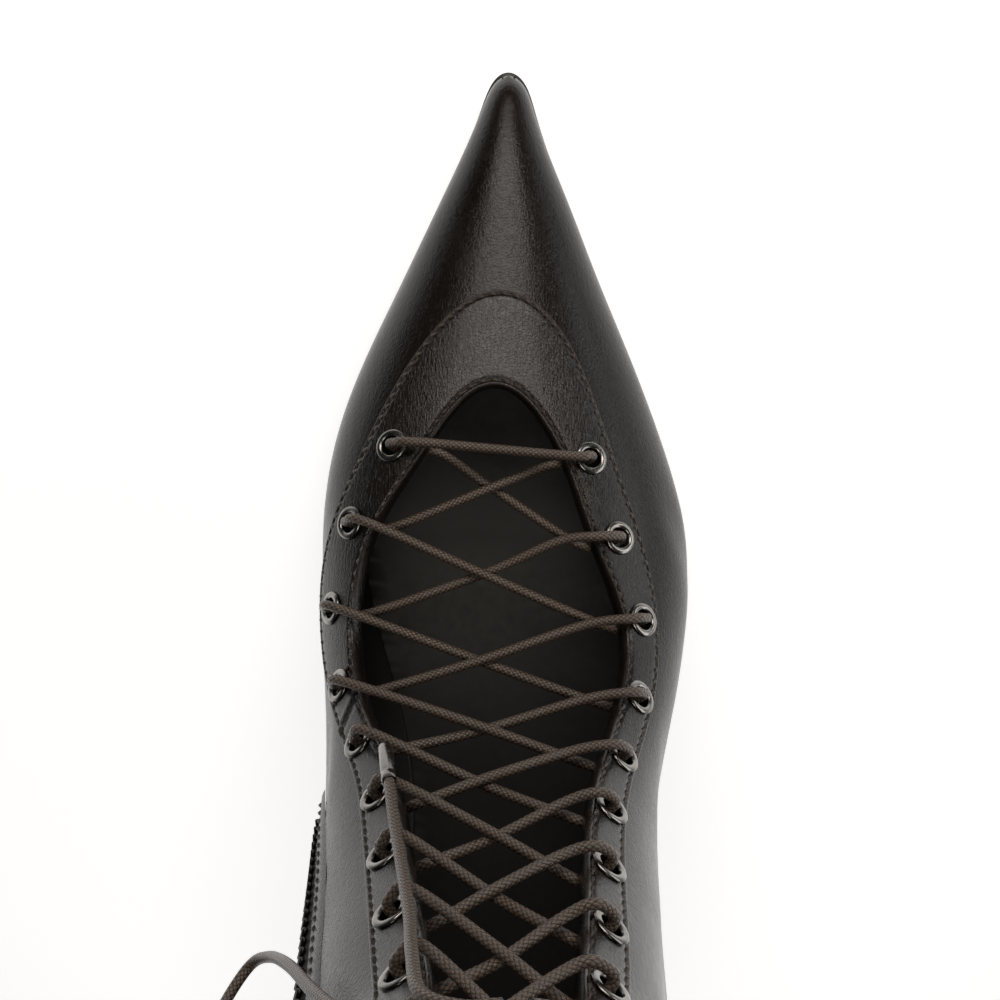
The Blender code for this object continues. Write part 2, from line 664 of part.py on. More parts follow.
def zip_band(last, half_width, near, far, foot_extra=0.0, head_extra=0.0, rows=10):
    """Return a solid strip of the medial wall along the zip, between two offsets from the outside."""
    foot, head = np.array(ZIP_FOOT), np.array(ZIP_HEAD)
    along = (head - foot) / np.linalg.norm(head - foot)
    across = np.array([along[1], -along[0]])
    foot = foot - along * foot_extra
    inner, outer = [], []
    for i in range(rows + 1):
        middle = foot + (head - foot) * i / rows
        for v in (-1.0, 0.0, 1.0):
            y, z = middle + across * half_width * v
            s, q = last.side_place(y, z, 1.0)
            point, normal = last.point(s, 1.0, q), last.normal(s, 1.0, q)
            lift = np.array([0.0, *along]) * (head_extra if i == rows else 0.0)
            inner.append(point + normal * near + lift)
            outer.append(point + normal * far + lift)
    columns = 3
    count = (rows + 1) * columns
    points = np.array(outer + inner)
    faces = grid_faces(rows + 1, columns) + grid_faces(rows + 1, columns, count, flip=True)
    rim = [r * columns for r in range(rows + 1)] + [rows * columns + 1]
    rim += [r * columns + 2 for r in range(rows, -1, -1)] + [1]
    faces += [(a, b, b + count, a + count) for a, b in zip(rim, rim[1:] + rim[:1])]
    return points, faces


def zip_frame(last, drop):
    """Return a place on the zip below the collar: its point, its way up, its width and its normal."""
    foot, head = np.array(ZIP_FOOT), np.array(ZIP_HEAD)
    along = (head - foot) / np.linalg.norm(head - foot)
    spots = []
    for shift in (drop, drop - 4.0):
        s, q = last.side_place(*(head - along * shift), 1.0)
        spots.append((last.point(s, 1.0, q), last.normal(s, 1.0, q)))
    (point, normal), (above, _) = spots
    up = above - point
    up -= normal * np.dot(up, normal)
    up /= np.linalg.norm(up)
    return point, up, np.cross(up, normal), normal


def block(centre, axes, size, taper=1.0, corner=0.25):
    """Return an eight-sided block: size along width, length and thickness, narrower at its far end."""
    wide, long, thick = (axis * extent for axis, extent in zip(axes, size))
    near = 0.5 - corner
    outline = [(-near, -0.5), (near, -0.5), (0.5, -near), (0.5, near)]
    outline += [(-a, -b) for a, b in outline]
    rings = []
    for level, scale in ((-0.5, 1.0), (0.5, taper)):
        ring = [centre + wide * a * scale + thick * b + long * level for a, b in outline]
        rings.append(np.array(ring))
    return ring_loft(rings)


def build_sole(last, root, materials):
    """Make outsole, insole, heel and top lift."""
    points, faces = slab(sole_outline(last, SOLE_WELT), -GAP - SOLE_THICK, -GAP, bevel=0.8)
    add_object("outsole", points, faces, materials["sole"], root)
    lines = sole_outline(last, -INSOLE_INSET, start_width=5.2)
    points, faces = slab(lines, 0.0, INSOLE_THICK)
    add_object("insole", points, faces, materials["lining"], root)
    rings = [heel_ring(last, ring) for ring in HEEL_RINGS]
    points, faces = ring_loft(rings)
    add_object("heel", points, faces, materials["heel"], root)
    foot = rings[-1]
    lift_rings = [foot * (1.0, 1.0, 0.0) + (0.0, 0.0, z) for z in (TOP_LIFT_HEIGHT, 0.0)]
    points, faces = ring_loft(lift_rings)
    add_object("heel_top_lift", points, faces, materials["rubber"], root)


def build_upper(last, eyelets, root, materials):
    """Make the hollow upper and its eyestay, with eyelet holes and the slot for the zip."""
    points, faces = thick_sheet(*upper_surface(last), -WALL, 0.0)
    upper = add_object("upper", points, faces, materials["leather"], root)
    points, faces = thick_sheet(*stay_surface(last), GAP, GAP + STAY_THICK)
    stay = add_object("eyestay", points, faces, materials["leather"], root)
    all_points, all_faces = [], []
    for eyelet in (eyelet for row in eyelets.values() for eyelet in row):
        rings = []
        for height in (-5.0, 5.0):
            disc, _ = turned([(LEATHER_HOLE_R, height)], eyelet.point, eyelet.normal, HOLE_SIDES)
            rings.append(disc)
        hole, hole_faces = ring_loft(rings)
        all_faces += [tuple(i + len(all_points) * 2 * HOLE_SIDES for i in face) for face in hole_faces]
        all_points.append(hole)
    holes = add_object("eyelet_hole_cutter", np.concatenate(all_points), all_faces, None, root)
    for item in (upper, stay):
        add_boolean(item, holes, "DIFFERENCE")
    slot_points, slot_faces = zip_band(last, ZIP_HALF_WIDTH + SLOT_GAP, -WALL - 3.0, 3.0, SLOT_GAP, 6.0)
    slot = add_object("zip_slot_cutter", slot_points, slot_faces, None, root)
    add_boolean(upper, slot, "DIFFERENCE")


def build_zip(last, root, materials):
    """Make the zip's strip, its slider and the pull tab that swings on the slider."""
    points, faces = zip_band(last, ZIP_HALF_WIDTH, -ZIP_THICK - 0.2, -0.2)
    add_object("zip_tape", points, faces, materials["zip"], root)
    point, up, across, normal = zip_frame(last, SLIDER_DROP)
    _, length, thick = SLIDER_SIZE
    centre = point + normal * (GAP + thick / 2.0)
    points, faces = block(centre, (across, up, normal), SLIDER_SIZE, 0.8)
    add_object("zip_slider", points, faces, materials["metal"], root)
    hinge = point + normal * (GAP + thick + GAP + HINGE_R) + up * (length / 2.0 - 2.0)
    hang = hinge - up * (PULL_SIZE[1] / 2.0 - HINGE_R)
    points, faces = block(hang, (across, -up, normal), PULL_SIZE, 1.0)
    pivot = bpy.data.objects.new("zip_pull_hinge", None)
    pivot.location = Vector(hinge) * MM
    bpy.context.scene.collection.objects.link(pivot)
    pivot.parent = root
    pull = add_object("zip_pull", points, faces, materials["metal"], None, hinge)
    pull.parent = pivot
    pull.location = (0.0, 0.0, 0.0)


def build_eyelets(eyelets, root, materials):
    """Make the flanged metal eyelets."""
    profile = [(EYELET_HOLE_R, -WALL - 0.2), (EYELET_BARREL_R, -WALL), (EYELET_BARREL_R, FLANGE_LOW),
               (EYELET_OUTER_R, FLANGE_LOW - FLANGE_DISH), (EYELET_HOLE_R + FLANGE_DISH, FLANGE_HIGH)]
    for side, row in eyelets.items():
        for number, eyelet in enumerate(row, 1):
            points, faces = turned(profile, eyelet.point, eyelet.normal, EYELET_SIDES)
            add_object(f"eyelet_{side}_{number}", points, faces, materials["metal"], root)


def build_lacing(eyelets, root, materials):
    """Make the bottom bar and the joined crossings of the lace."""
    lace = materials["lace"]
    left, right = over_route(eyelets["medial"][0]), over_route(eyelets["lateral"][0])
    points, faces = tube(smooth_path(left + right[::-1], 9.0), LACE_R)
    add_object("lace_bar_1", points, faces, lace, root)
    for k in range(EYELET_PAIRS - 1):
        top, low = (tube(smooth_path(route, 9.0), LACE_R) for route in crossing_routes(eyelets, k))
        item = add_object(f"lace_cross_{k + 1}", *top, lace, root)
        helper = add_object(f"lace_cross_{k + 1}_strand", *low, None, root)
        add_boolean(item, helper, "UNION")


def build_bow(eyelets, root, materials):
    """Make the knot with its two strands from the top eyelets, the loops, the ends and their aglets."""
    lace, metal = materials["lace"], materials["metal"]
    centre = np.array(KNOT_CENTRE)
    strands = [over_route(eyelets[side][-1]) + [centre] for side in SIDES]
    wide, deep, tall = KNOT_RADII
    turns = [2.0 * math.pi * i / KNOT_SIDES for i in range(KNOT_SIDES)]
    knot_rings = []
    for level in np.linspace(-0.96, 0.96, 7):
        reach = math.sqrt(1.0 - level * level)
        ring = [(wide * level, -deep * reach * math.sin(t), tall * reach * math.cos(t)) for t in turns]
        knot_rings.append(centre + np.array(ring))
    knot = add_object("lace_knot", *ring_loft(knot_rings), lace, root)
    for side, strand in zip(SIDES, strands):
        points, faces = tube(smooth_path(strand, 5.0), LACE_R)
        add_boolean(knot, add_object(f"lace_knot_strand_{side}", points, faces, None, root), "UNION")
    for name, route in (("lace_loop_medial", LOOP_MEDIAL), ("lace_loop_lateral", LOOP_LATERAL)):
        cord_object(name, route, LACE_R, lace, root)
    for side, route in (("medial", END_MEDIAL), ("lateral", END_LATERAL)):
        cord_object(f"lace_end_{side}", route, LACE_R, lace, root)
        tip, before = np.array(route[-1]), np.array(route[-2])
        ahead = (tip - before) / np.linalg.norm(tip - before)
        path = [tip + ahead * (GAP + AGLET_LENGTH * u) for u in (0.0, 0.5, 1.0)]
        add_object(f"aglet_{side}", *tube(path, AGLET_R, 10), metal, root)


def main():
    """Build every piece of the boot under one empty."""
    clear_scene()
    root = bpy.data.objects.new("ankle_boot", None)
    bpy.context.scene.collection.objects.link(root)
    materials = {
        "leather": make_material("boot_leather", (0.022, 0.017, 0.014), 0.38),
        "lining": make_material("lining_leather", (0.012, 0.011, 0.011), 0.55),
        "sole": make_material("sole_edge", (0.010, 0.009, 0.009), 0.5),
        "heel": make_material("heel_cover", (0.020, 0.016, 0.013), 0.4),
        "rubber": make_material("top_lift_rubber", (0.015, 0.015, 0.015), 0.7),
        "lace": make_material("waxed_lace", (0.045, 0.030, 0.022), 0.5),
        "metal": make_material("dark_nickel", (0.35, 0.33, 0.31), 0.3, 1.0),
        "zip": make_material("zip_strip", (0.015, 0.013, 0.012), 0.5),
    }
    last = Last()
    eyelets = {}
    for name, side in SIDES.items():
        eyelets[name] = place_eyelets(last, side, EYELET_FIRST_Y[name], EYELET_PITCH[name])
    build_sole(last, root, materials)
    build_upper(last, eyelets, root, materials)
    build_eyelets(eyelets, root, materials)
    build_lacing(eyelets, root, materials)
    build_bow(eyelets, root, materials)
    build_zip(last, root, materials)


main()
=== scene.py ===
"""Looks of a pointed-toe lace-up ankle boot for the right foot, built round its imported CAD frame.

The toe points to -Y, +X is the medial side and the boot stands on z = 0. Lengths are millimetres, and a
Draft turns them into metres when it becomes an object.
"""

import logging
import math
from dataclasses import dataclass, field
from enum import Enum
from typing import Callable, Sequence

import bmesh
import bpy
import numpy as np
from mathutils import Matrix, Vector


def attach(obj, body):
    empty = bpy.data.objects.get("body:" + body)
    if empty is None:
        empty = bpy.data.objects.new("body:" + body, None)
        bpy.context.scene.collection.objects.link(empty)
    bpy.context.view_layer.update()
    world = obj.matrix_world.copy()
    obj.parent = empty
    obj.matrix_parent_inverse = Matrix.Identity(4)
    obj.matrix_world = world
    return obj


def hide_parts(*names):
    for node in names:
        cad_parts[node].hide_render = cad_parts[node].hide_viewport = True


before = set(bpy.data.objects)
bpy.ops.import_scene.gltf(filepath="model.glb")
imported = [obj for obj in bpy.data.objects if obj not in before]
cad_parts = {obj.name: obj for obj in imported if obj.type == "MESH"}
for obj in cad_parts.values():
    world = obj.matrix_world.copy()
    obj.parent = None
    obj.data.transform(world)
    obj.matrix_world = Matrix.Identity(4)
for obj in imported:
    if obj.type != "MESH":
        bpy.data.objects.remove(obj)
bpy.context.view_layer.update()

Array = np.ndarray
Seam = tuple[Array, Array]
Point = tuple[float, float, float]
Colour = tuple[float, float, float]
Socket = bpy.types.NodeSocket
LOG = logging.getLogger("ankle_boot")
BOOT_BODY = "boot"
PULL_BODY = "pull_tab"
UV_LAYER = "places"
# The wear layer carries rubbed wear, and on the insole a painted sheen
WEAR_LAYER = "wear"

# One millimetre in metres; then, in millimetres, the gap between neighbouring pieces, the distance under
# which points merge and the upper's wall; and the angle in degrees over which soft edges stay sharp
MM = 0.001
GAP = 0.3
MERGE = 0.002
WALL = 1.6
SOFT_ANGLE = 75.0

# One row a section, from the toe tip to the collar: the section's crest and base points in side view,
# its middle line in x, its half widths, the share of its height where it is widest, the half widths of
# the sole's feather line, the squareness of its crown, and the half gaps of throat and eyestay.
SECTION_COLUMNS = (
    "crest_y", "crest_z", "base_y", "base_z", "axis_x", "wide_in", "wide_out", "wide_at",
    "sole_in", "sole_out", "crown_in", "crown_out", "throat_in", "throat_out", "stay_in", "stay_out",
)
SECTIONS = (
    (-102.0, 11.5, -102.5, 7.8, -1.9, 0.0, 0.0, 0.40, 0.0, 0.0, 1.9, 1.9, 0, 0, 0, 0),
    (-99.5, 14.5, -100.0, 7.5, -1.9, 3.6, 3.6, 0.36, 3.2, 3.2, 1.9, 1.9, 0, 0, 0, 0),
    (-94.5, 17.5, -94.5, 7.0, -1.7, 5.9, 5.9, 0.34, 5.3, 5.4, 1.9, 1.9, 0, 0, 0, 0),
    (-85.0, 21.0, -85.0, 6.2, -1.3, 9.6, 9.6, 0.33, 8.8, 9.0, 1.9, 1.9, 0, 0, 0, 0),
    (-70.0, 25.2, -70.0, 5.0, -0.8, 16.3, 16.2, 0.33, 15.0, 15.3, 1.9, 1.9, 0, 0, 0, 0),
    (-53.5, 30.0, -53.5, 4.0, 0.0, 23.5, 23.5, 0.33, 21.5, 22.2, 1.95, 1.85, 0, 0, 0, 0),
    (-33.5, 36.0, -33.5, 3.3, 1.2, 31.6, 32.9, 0.34, 28.6, 30.6, 2.0, 1.8, 0, 0, 20.6, 19.8),
    (-16.0, 42.5, -15.5, 3.3, 1.0, 37.2, 39.0, 0.35, 32.6, 35.4, 2.0, 1.75, 17.6, 15.2, 29.6, 25.6),
    (0.0, 49.0, 3.0, 3.3, 0.6, 39.4, 42.6, 0.36, 33.2, 38.0, 1.95, 1.7, 27.4, 20.6, 36.4, 30.6),
    (15.0, 57.5, 21.0, 5.3, 0.5, 39.2, 42.2, 0.37, 30.5, 36.5, 1.9, 1.7, 29.8, 26.0, 37.8, 33.3),
    (26.5, 68.5, 41.0, 15.0, 0.5, 37.4, 38.5, 0.37, 24.0, 32.0, 1.9, 1.8, 27.0, 24.4, 34.2, 31.4),
    (34.0, 82.5, 62.0, 30.5, 0.5, 35.8, 33.5, 0.38, 20.0, 26.5, 1.9, 2.0, 20.4, 19.4, 27.6, 26.0),
    (40.0, 98.0, 85.0, 45.5, 0.6, 35.6, 31.8, 0.39, 22.0, 25.0, 1.95, 2.3, 16.4, 16.2, 23.8, 22.6),
    (44.6, 115.5, 109.0, 59.5, 0.8, 36.2, 31.4, 0.40, 26.0, 26.5, 2.0, 2.5, 13.2, 14.9, 21.0, 21.4),
    (47.6, 132.0, 131.0, 69.0, 1.0, 36.0, 31.2, 0.43, 24.3, 24.8, 2.0, 2.6, 10.4, 13.9, 18.6, 20.6),
    (48.8, 140.5, 147.5, 73.5, 1.0, 35.8, 31.1, 0.45, 0.0, 0.0, 2.0, 2.6, 9.2, 13.1, 17.6, 19.9),
    (49.5, 150.0, 148.5, 90.0, 1.0, 35.4, 31.0, 0.46, 0.0, 0.0, 2.0, 2.6, 8.6, 12.6, 17.2, 19.5),
    (50.0, 160.0, 145.5, 119.0, 1.0, 34.9, 30.9, 0.47, 0.0, 0.0, 2.0, 2.6, 8.4, 12.2, 17.0, 19.3),
    (50.3, 170.5, 141.5, 147.0, 1.0, 34.7, 31.0, 0.48, 0.0, 0.0, 2.0, 2.6, 8.4, 12.0, 17.0, 19.2),
    (50.6, 181.0, 139.5, 176.0, 1.0, 34.8, 31.3, 0.49, 0.0, 0.0, 2.0, 2.6, 8.8, 11.9, 17.4, 19.0),
)

# Rows where stay, throat, ball and heel begin, the rows that round the heel's corner, the most that the
# feather line takes of a half width, where the toe's tip ends, and how often a search halves its range
STAY_ROW = 5
THROAT_ROW = 6
BALL_ROW = 8
HEEL_ROW = 15
CORNER_ROWS = 2
FEATHER_SHARE = 0.98
TIP_SHARE = 0.02
HALVINGS = 40

# Rings of the slim heel from the seat (0) down to the top lift (1): level, front y, back y, half width
HEEL_RINGS = (
    (0.00, 99.0, 147.6, 24.4),
    (0.10, 106.0, 147.0, 21.0),
    (0.25, 112.5, 145.6, 16.6),
    (0.50, 118.5, 143.2, 11.6),
    (0.75, 121.8, 140.8, 8.8),
    (1.00, 123.0, 139.0, 7.8),
)

# Free lace as in the CAD: the bow hangs from the knot over the top eyelets
KNOT_CENTRE = (-2.0, 40.5, 177.0)
LOOP_MEDIAL = (
    (3.15, 40.3, 176.6), (11.0, 42.0, 176.0), (19.0, 46.5, 163.0), (26.5, 51.0, 145.0), (33.5, 56.0, 124.0),
    (39.5, 62.0, 107.0), (44.0, 66.5, 101.0), (48.0, 72.0, 107.0), (47.5, 73.0, 124.0), (43.5, 69.0, 145.0),
    (36.5, 62.0, 164.0), (26.5, 53.0, 178.0), (13.5, 44.0, 183.5), (2.95, 40.5, 179.6),
)
LOOP_LATERAL = (
    (-7.15, 40.3, 176.6), (-15.0, 42.5, 176.0), (-22.0, 48.5, 166.0), (-28.5, 57.0, 152.0),
    (-34.0, 67.0, 134.0), (-37.5, 77.0, 118.0), (-40.0, 86.0, 112.0), (-42.0, 91.0, 118.0),
    (-42.0, 88.0, 134.0), (-39.0, 78.0, 152.0), (-32.5, 65.0, 169.0), (-22.5, 52.5, 180.5),
    (-13.5, 44.0, 184.0), (-6.95, 40.5, 179.6),
)
END_MEDIAL = (
    (-0.2, 39.7, 172.85), (5.0, 41.0, 170.5), (10.3, 41.6, 165.0), (12.2, 42.0, 152.0), (13.3, 42.2, 139.0),
    (15.0, 41.2, 126.0), (16.9, 39.6, 113.0), (18.4, 37.4, 103.5), (19.6, 35.0, 95.0),
)
END_LATERAL = (
    (-3.8, 39.7, 172.85), (-11.5, 43.2, 167.5), (-20.0, 47.2, 160.0), (-27.0, 53.0, 150.0),
    (-32.0, 61.0, 138.0), (-35.0, 69.0, 124.0), (-36.5, 74.0, 110.0),
)


class Side(Enum):
    """Side of a right boot; its value is the sign of x."""

    MEDIAL = 1.0
    LATERAL = -1.0

    @property
    def word(self) -> str:
        """Return the side's name as the CAD nodes spell it."""
        return self.name.lower()

    @property
    def other(self) -> "Side":
        """Return the opposite side."""
        return Side(-self.value)


class Half(Enum):
    """Half width that a section states for each of its sides."""

    WIDE = "wide"
    SOLE = "sole"
    THROAT = "throat"
    STAY = "stay"


class Slot(Enum):
    """Material slots of the record."""

    LEATHER = "boot_leather"
    LINING = "lining_leather"
    SOLE = "sole_edge"
    HEEL = "heel_cover"
    LIFT = "top_lift_rubber"
    LACE = "waxed_lace"
    METAL = "dark_nickel"
    ZIP = "zip_strip"


class Spline:
    """Cubic curve through values at rising knots."""

    def __init__(self, knots: Array, values: Array, steady: bool = False) -> None:
        """Find the slopes at the knots.

        Args:
            knots: Rising places.
            values: Values at those places.
            steady: Keep the curve between neighbouring values, rather than its bend smooth.
        """
        self.knots, self.values = np.asarray(knots, float), np.asarray(values, float)
        step = np.diff(self.knots)
        rise = np.diff(self.values) / step
        count = len(self.knots)
        if steady:
            same = rise[:-1] * rise[1:] > 0.0
            mean = 2.0 * rise[:-1] * rise[1:] / np.where(same, rise[:-1] + rise[1:], 1.0)
            self.slopes = np.concatenate([rise[:1], np.where(same, mean, 0.0), rise[-1:]])
            return
        system, target = np.zeros((count, count)), np.zeros(count)
        system[0, :2], target[0] = (2.0, 1.0), 3.0 * rise[0]
        system[-1, -2:], target[-1] = (1.0, 2.0), 3.0 * rise[-1]
        for i in range(1, count - 1):
            before, after = 1.0 / step[i - 1], 1.0 / step[i]
            system[i, i - 1:i + 2] = before, 2.0 * (before + after), after
            target[i] = 3.0 * (rise[i - 1] * before + rise[i] * after)
        self.slopes = np.linalg.solve(system, target)

    def __call__(self, at: Array) -> Array:
        """Return the curve's values.

        Args:
            at: Places along the knots.

        Returns:
            Values in the shape of the places.
        """
        i = np.clip(np.searchsorted(self.knots, at) - 1, 0, len(self.knots) - 2)
        step = self.knots[i + 1] - self.knots[i]
        u = (at - self.knots[i]) / step
        start = (1.0 + 2.0 * u) * self.values[i] + u * step * self.slopes[i]
        end = (3.0 - 2.0 * u) * self.values[i + 1] + (u - 1.0) * step * self.slopes[i + 1]
        return (1.0 - u) ** 2 * start + u * u * end


class Last:
    """Outside of the boot as a fan of half sections; s runs from the toe (0) to the collar (1)."""

    def __init__(self) -> None:
        """Fit a curve through each column of the section table."""
        table = {name: np.array(column, float) for name, column in zip(SECTION_COLUMNS, zip(*SECTIONS))}
        middle = np.stack([table["crest_y"] + table["base_y"], table["crest_z"] + table["base_z"]], 1) / 2.0
        run = np.concatenate([[0.0], np.cumsum(np.linalg.norm(np.diff(middle, axis=0), axis=1))])
        self.knots = run / run[-1]
        self.stay_front, self.throat_front = self.knots[STAY_ROW], self.knots[THROAT_ROW]
        self.ball, self.heel = self.knots[BALL_ROW], self.knots[HEEL_ROW]
        names = ("crest_y", "crest_z", "axis_x", "wide_at", "crown_in", "crown_out")
        self.curves = {name: Spline(self.knots, table[name]) for name in names}
        below, above = slice(None, HEEL_ROW + 1), slice(HEEL_ROW, None)
        covers = {Half.WIDE: slice(None), Half.SOLE: below,
                  Half.THROAT: slice(THROAT_ROW, None), Half.STAY: slice(STAY_ROW, None)}
        self.halves = {}
        for half, rows in covers.items():
            for side, end in ((Side.MEDIAL, "_in"), (Side.LATERAL, "_out")):
                squared = table[half.value + end][rows] ** 2
                self.halves[half, side] = Spline(self.knots[rows], squared)
        self.under = (Spline(self.knots[below], table["base_y"][below]),
                      Spline(self.knots[below], table["base_z"][below], steady=True))
        self.back = tuple(Spline(self.knots[above], table[name][above]) for name in ("base_y", "base_z"))

    def slowed(self, s: Array) -> Array:
        """Return s as the base runs: it slows to a stop at the heel's corner.

        Args:
            s: Places along the boot.

        Returns:
            Places at which the base's curves are read.
        """
        rows = np.where(s > self.heel, HEEL_ROW + CORNER_ROWS, HEEL_ROW - CORNER_ROWS)
        far = self.knots[rows] - self.heel
        u = (s - self.heel) / far
        return np.where(u >= 1.0, s, self.heel + far * u * u * (2.0 - u))

    def base(self, s: Array) -> Array:
        """Return the base points (y, z), along the sole and then up the back seam.

        Args:
            s: Places along the boot.

        Returns:
            Points, with y and z in the last axis.
        """
        run = self.slowed(s)
        below = np.stack([curve(run) for curve in self.under], -1)
        above = np.stack([curve(run) for curve in self.back], -1)
        return np.where((s <= self.heel)[..., None], below, above)

    def crest(self, s: Array) -> Array:
        """Return the crest points (y, z) of the sections at s."""
        return np.stack([self.curves["crest_y"](s), self.curves["crest_z"](s)], -1)

    def crown(self, s: Array, side: Side) -> Array:
        """Return the squareness of the sections' crown on one side."""
        return self.curves["crown_in" if side is Side.MEDIAL else "crown_out"](s)

    def half(self, half: Half, s: Array, side: Side) -> Array:
        """Return a half width, zero outside the stretch that it covers.

        Args:
            half: Which half width.
            s: Places along the boot.
            side: Side of the boot.

        Returns:
            Half widths in the shape of the places.
        """
        at = self.slowed(s) if half is Half.SOLE else s
        width = np.sqrt(np.maximum(self.halves[half, side](at), 0.0))
        covered = {Half.WIDE: s >= 0.0, Half.SOLE: s <= self.heel,
                   Half.THROAT: s >= self.throat_front, Half.STAY: s >= self.stay_front}
        return np.where(covered[half], width, 0.0)

    def share_at(self, s: Array, side: Side, half_x: Array) -> Array:
        """Return the share q of the half section, 0 at the crest and 1 at the base, at a crown half width.

        Args:
            s: Places along the boot.
            side: Side of the boot.
            half_x: Distances from the section's middle line.

        Returns:
            Shares in the shape of the places.
        """
        wide = np.maximum(self.half(Half.WIDE, s, side), 1e-6)
        ratio = np.clip(half_x / wide, 0.0, 1.0) ** (self.crown(s, side) / 2.0)
        return 0.5 - np.arccos(ratio) / math.pi

    def point(self, s: Array, side: Side, q: Array) -> Array:
        """Return surface points of one side.

        Args:
            s: Places along the boot.
            side: Side of the boot.
            q: Shares of the half sections, 0 at the crest and 1 at the base.

        Returns:
            Points, with x, y and z in the last axis.
        """
        s, q = np.broadcast_arrays(np.asarray(s, float), np.asarray(q, float))
        wide, sole = self.half(Half.WIDE, s, side), self.half(Half.SOLE, s, side)
        wide_at, power = self.curves["wide_at"](s), 2.0 / self.crown(s, side)
        angle = math.pi * np.clip(0.5 - q, 0.0, 0.5)
        top_x = wide * np.maximum(np.cos(angle), 0.0) ** power
        top_height = wide_at + (1.0 - wide_at) * np.sin(angle) ** power
        lean = np.arcsin(np.minimum(sole / np.maximum(wide, 1e-6), FEATHER_SHARE))
        angle = math.pi / 2.0 - (math.pi / 2.0 - lean) * np.clip(q - 0.5, 0.0, 0.5) * 2.0
        low_height = wide_at * (np.cos(lean) - np.cos(angle)) / np.cos(lean)
        half_x = np.where(q <= 0.5, top_x, wide * np.sin(angle))
        height = np.where(q <= 0.5, top_height, low_height)
        base = self.base(s)
        rest = base + (self.crest(s) - base) * height[..., None]
        return np.concatenate([(self.curves["axis_x"](s) + side.value * half_x)[..., None], rest], -1)

    def normal(self, s: Array, side: Side, q: Array) -> Array:
        """Return outward unit normals at surface points.

        Args:
            s: Places along the boot.
            side: Side of the boot.
            q: Shares of the half sections.

        Returns:
            Unit vectors, with x, y and z in the last axis.
        """
        s, q = np.broadcast_arrays(np.asarray(s, float), np.asarray(q, float))
        ds, dq = 0.004, 0.01
        along = self.point(np.minimum(s + ds, 1.0), side, q) - self.point(np.maximum(s - ds, 0.0), side, q)
        low, high = np.maximum(q - dq, 0.0), np.minimum(q + dq, 1.0)
        across = self.point(s, side, high) - self.point(s, side, low)
        normal = np.cross(across, along) * side.value
        normal[..., 0] = np.where((q < 1e-6) & (s > TIP_SHARE), 0.0, normal[..., 0])
        return unit(normal)

    def side_place(self, y: Array, z: Array, side: Side) -> tuple[Array, Array]:
        """Return (s, q) of the surface points that the side view shows at (y, z).

        Args:
            y: Places along the boot in side view.
            z: Heights in side view.
            side: Side of the boot.

        Returns:
            Places along the boot, and shares of the half sections.
        """
        seen = np.stack([y, z], -1)
        low, high = np.full(y.shape, self.throat_front), np.ones(y.shape)
        for _ in range(HALVINGS):
            s = (low + high) / 2.0
            base = self.base(s)
            rise = self.crest(s) - base
            ahead = rise[..., 1] * (y - base[..., 0]) - rise[..., 0] * (z - base[..., 1])
            low, high = np.where(ahead > 0.0, s, low), np.where(ahead > 0.0, high, s)
        height = ((seen - base) * rise).sum(-1)
        low, high = np.zeros(y.shape), np.ones(y.shape)
        for _ in range(HALVINGS):
            q = (low + high) / 2.0
            tall = ((self.point(s, side, q)[..., 1:] - base) * rise).sum(-1)
            low, high = np.where(tall > height, q, low), np.where(tall > height, high, q)
        return s, q


def unit(vectors: Array) -> Array:
    """Return vectors scaled to length one along their last axis."""
    return vectors / np.maximum(np.linalg.norm(vectors, axis=-1, keepdims=True), 1e-9)


def crowd(start: float, end: float, count: int, power: float = 1.0) -> Array:
    """Return count values from start up to, not including, end; a power over 1 crowds them at the start."""
    return start + (end - start) * (np.arange(count) / count) ** power


def arc_length(path: Array) -> Array:
    """Return the distance along a path at each of its points."""
    return np.concatenate([[0.0], np.cumsum(np.linalg.norm(np.diff(path, axis=0), axis=1))])


def smooth_path(route: Sequence[Sequence[float]], step: float) -> Array:
    """Return points at about one step along a Catmull-Rom curve.

    Args:
        route: Points that the curve goes through.
        step: Distance between points.

    Returns:
        Points along the curve.
    """
    points = [np.array(point, float) for point in route]
    ends = [2.0 * points[0] - points[1], *points, 2.0 * points[-1] - points[-2]]
    path = []
    for p, a, b, n in zip(ends, ends[1:], ends[2:], ends[3:]):
        count = max(1, round(np.linalg.norm(b - a) / step))
        for u in np.arange(count) / count:
            cubic = (3.0 * a - 3.0 * b + n - p) * u ** 3
            path.append(0.5 * (2.0 * a + (b - p) * u + (2.0 * p - 5.0 * a + 4.0 * b - n) * u * u + cubic))
    return np.array([*path, points[-1]])


def grid_faces(rows: int, columns: int, wrap: bool = False, flip: bool = False) -> Array:
    """Return the quads of a grid whose points are stored row after row.

    Args:
        rows: Number of rows.
        columns: Number of columns.
        wrap: Join the last column to the first.
        flip: Turn the faces over.

    Returns:
        Point numbers, four for each quad.
    """
    r, c = np.meshgrid(np.arange(rows - 1), np.arange(columns if wrap else columns - 1), indexing="ij")
    near, far = r * columns + c, r * columns + (c + 1) % columns
    quads = np.stack([near, far, far + columns, near + columns], -1).reshape(-1, 4)
    return quads[:, ::-1] if flip else quads


def corner_places(along: Array, across: Array) -> Array:
    """Return the texture places of the corners of a grid's quads.

    Args:
        along: Places of the rows.
        across: Places of the columns.

    Returns:
        Four places for each quad.
    """
    r, c = np.meshgrid(np.arange(len(along) - 1), np.arange(len(across) - 1), indexing="ij")
    steps = ((0, 0), (0, 1), (1, 1), (1, 0))
    return np.stack([np.stack([along[r + i], across[c + j]], -1) for i, j in steps], -2)


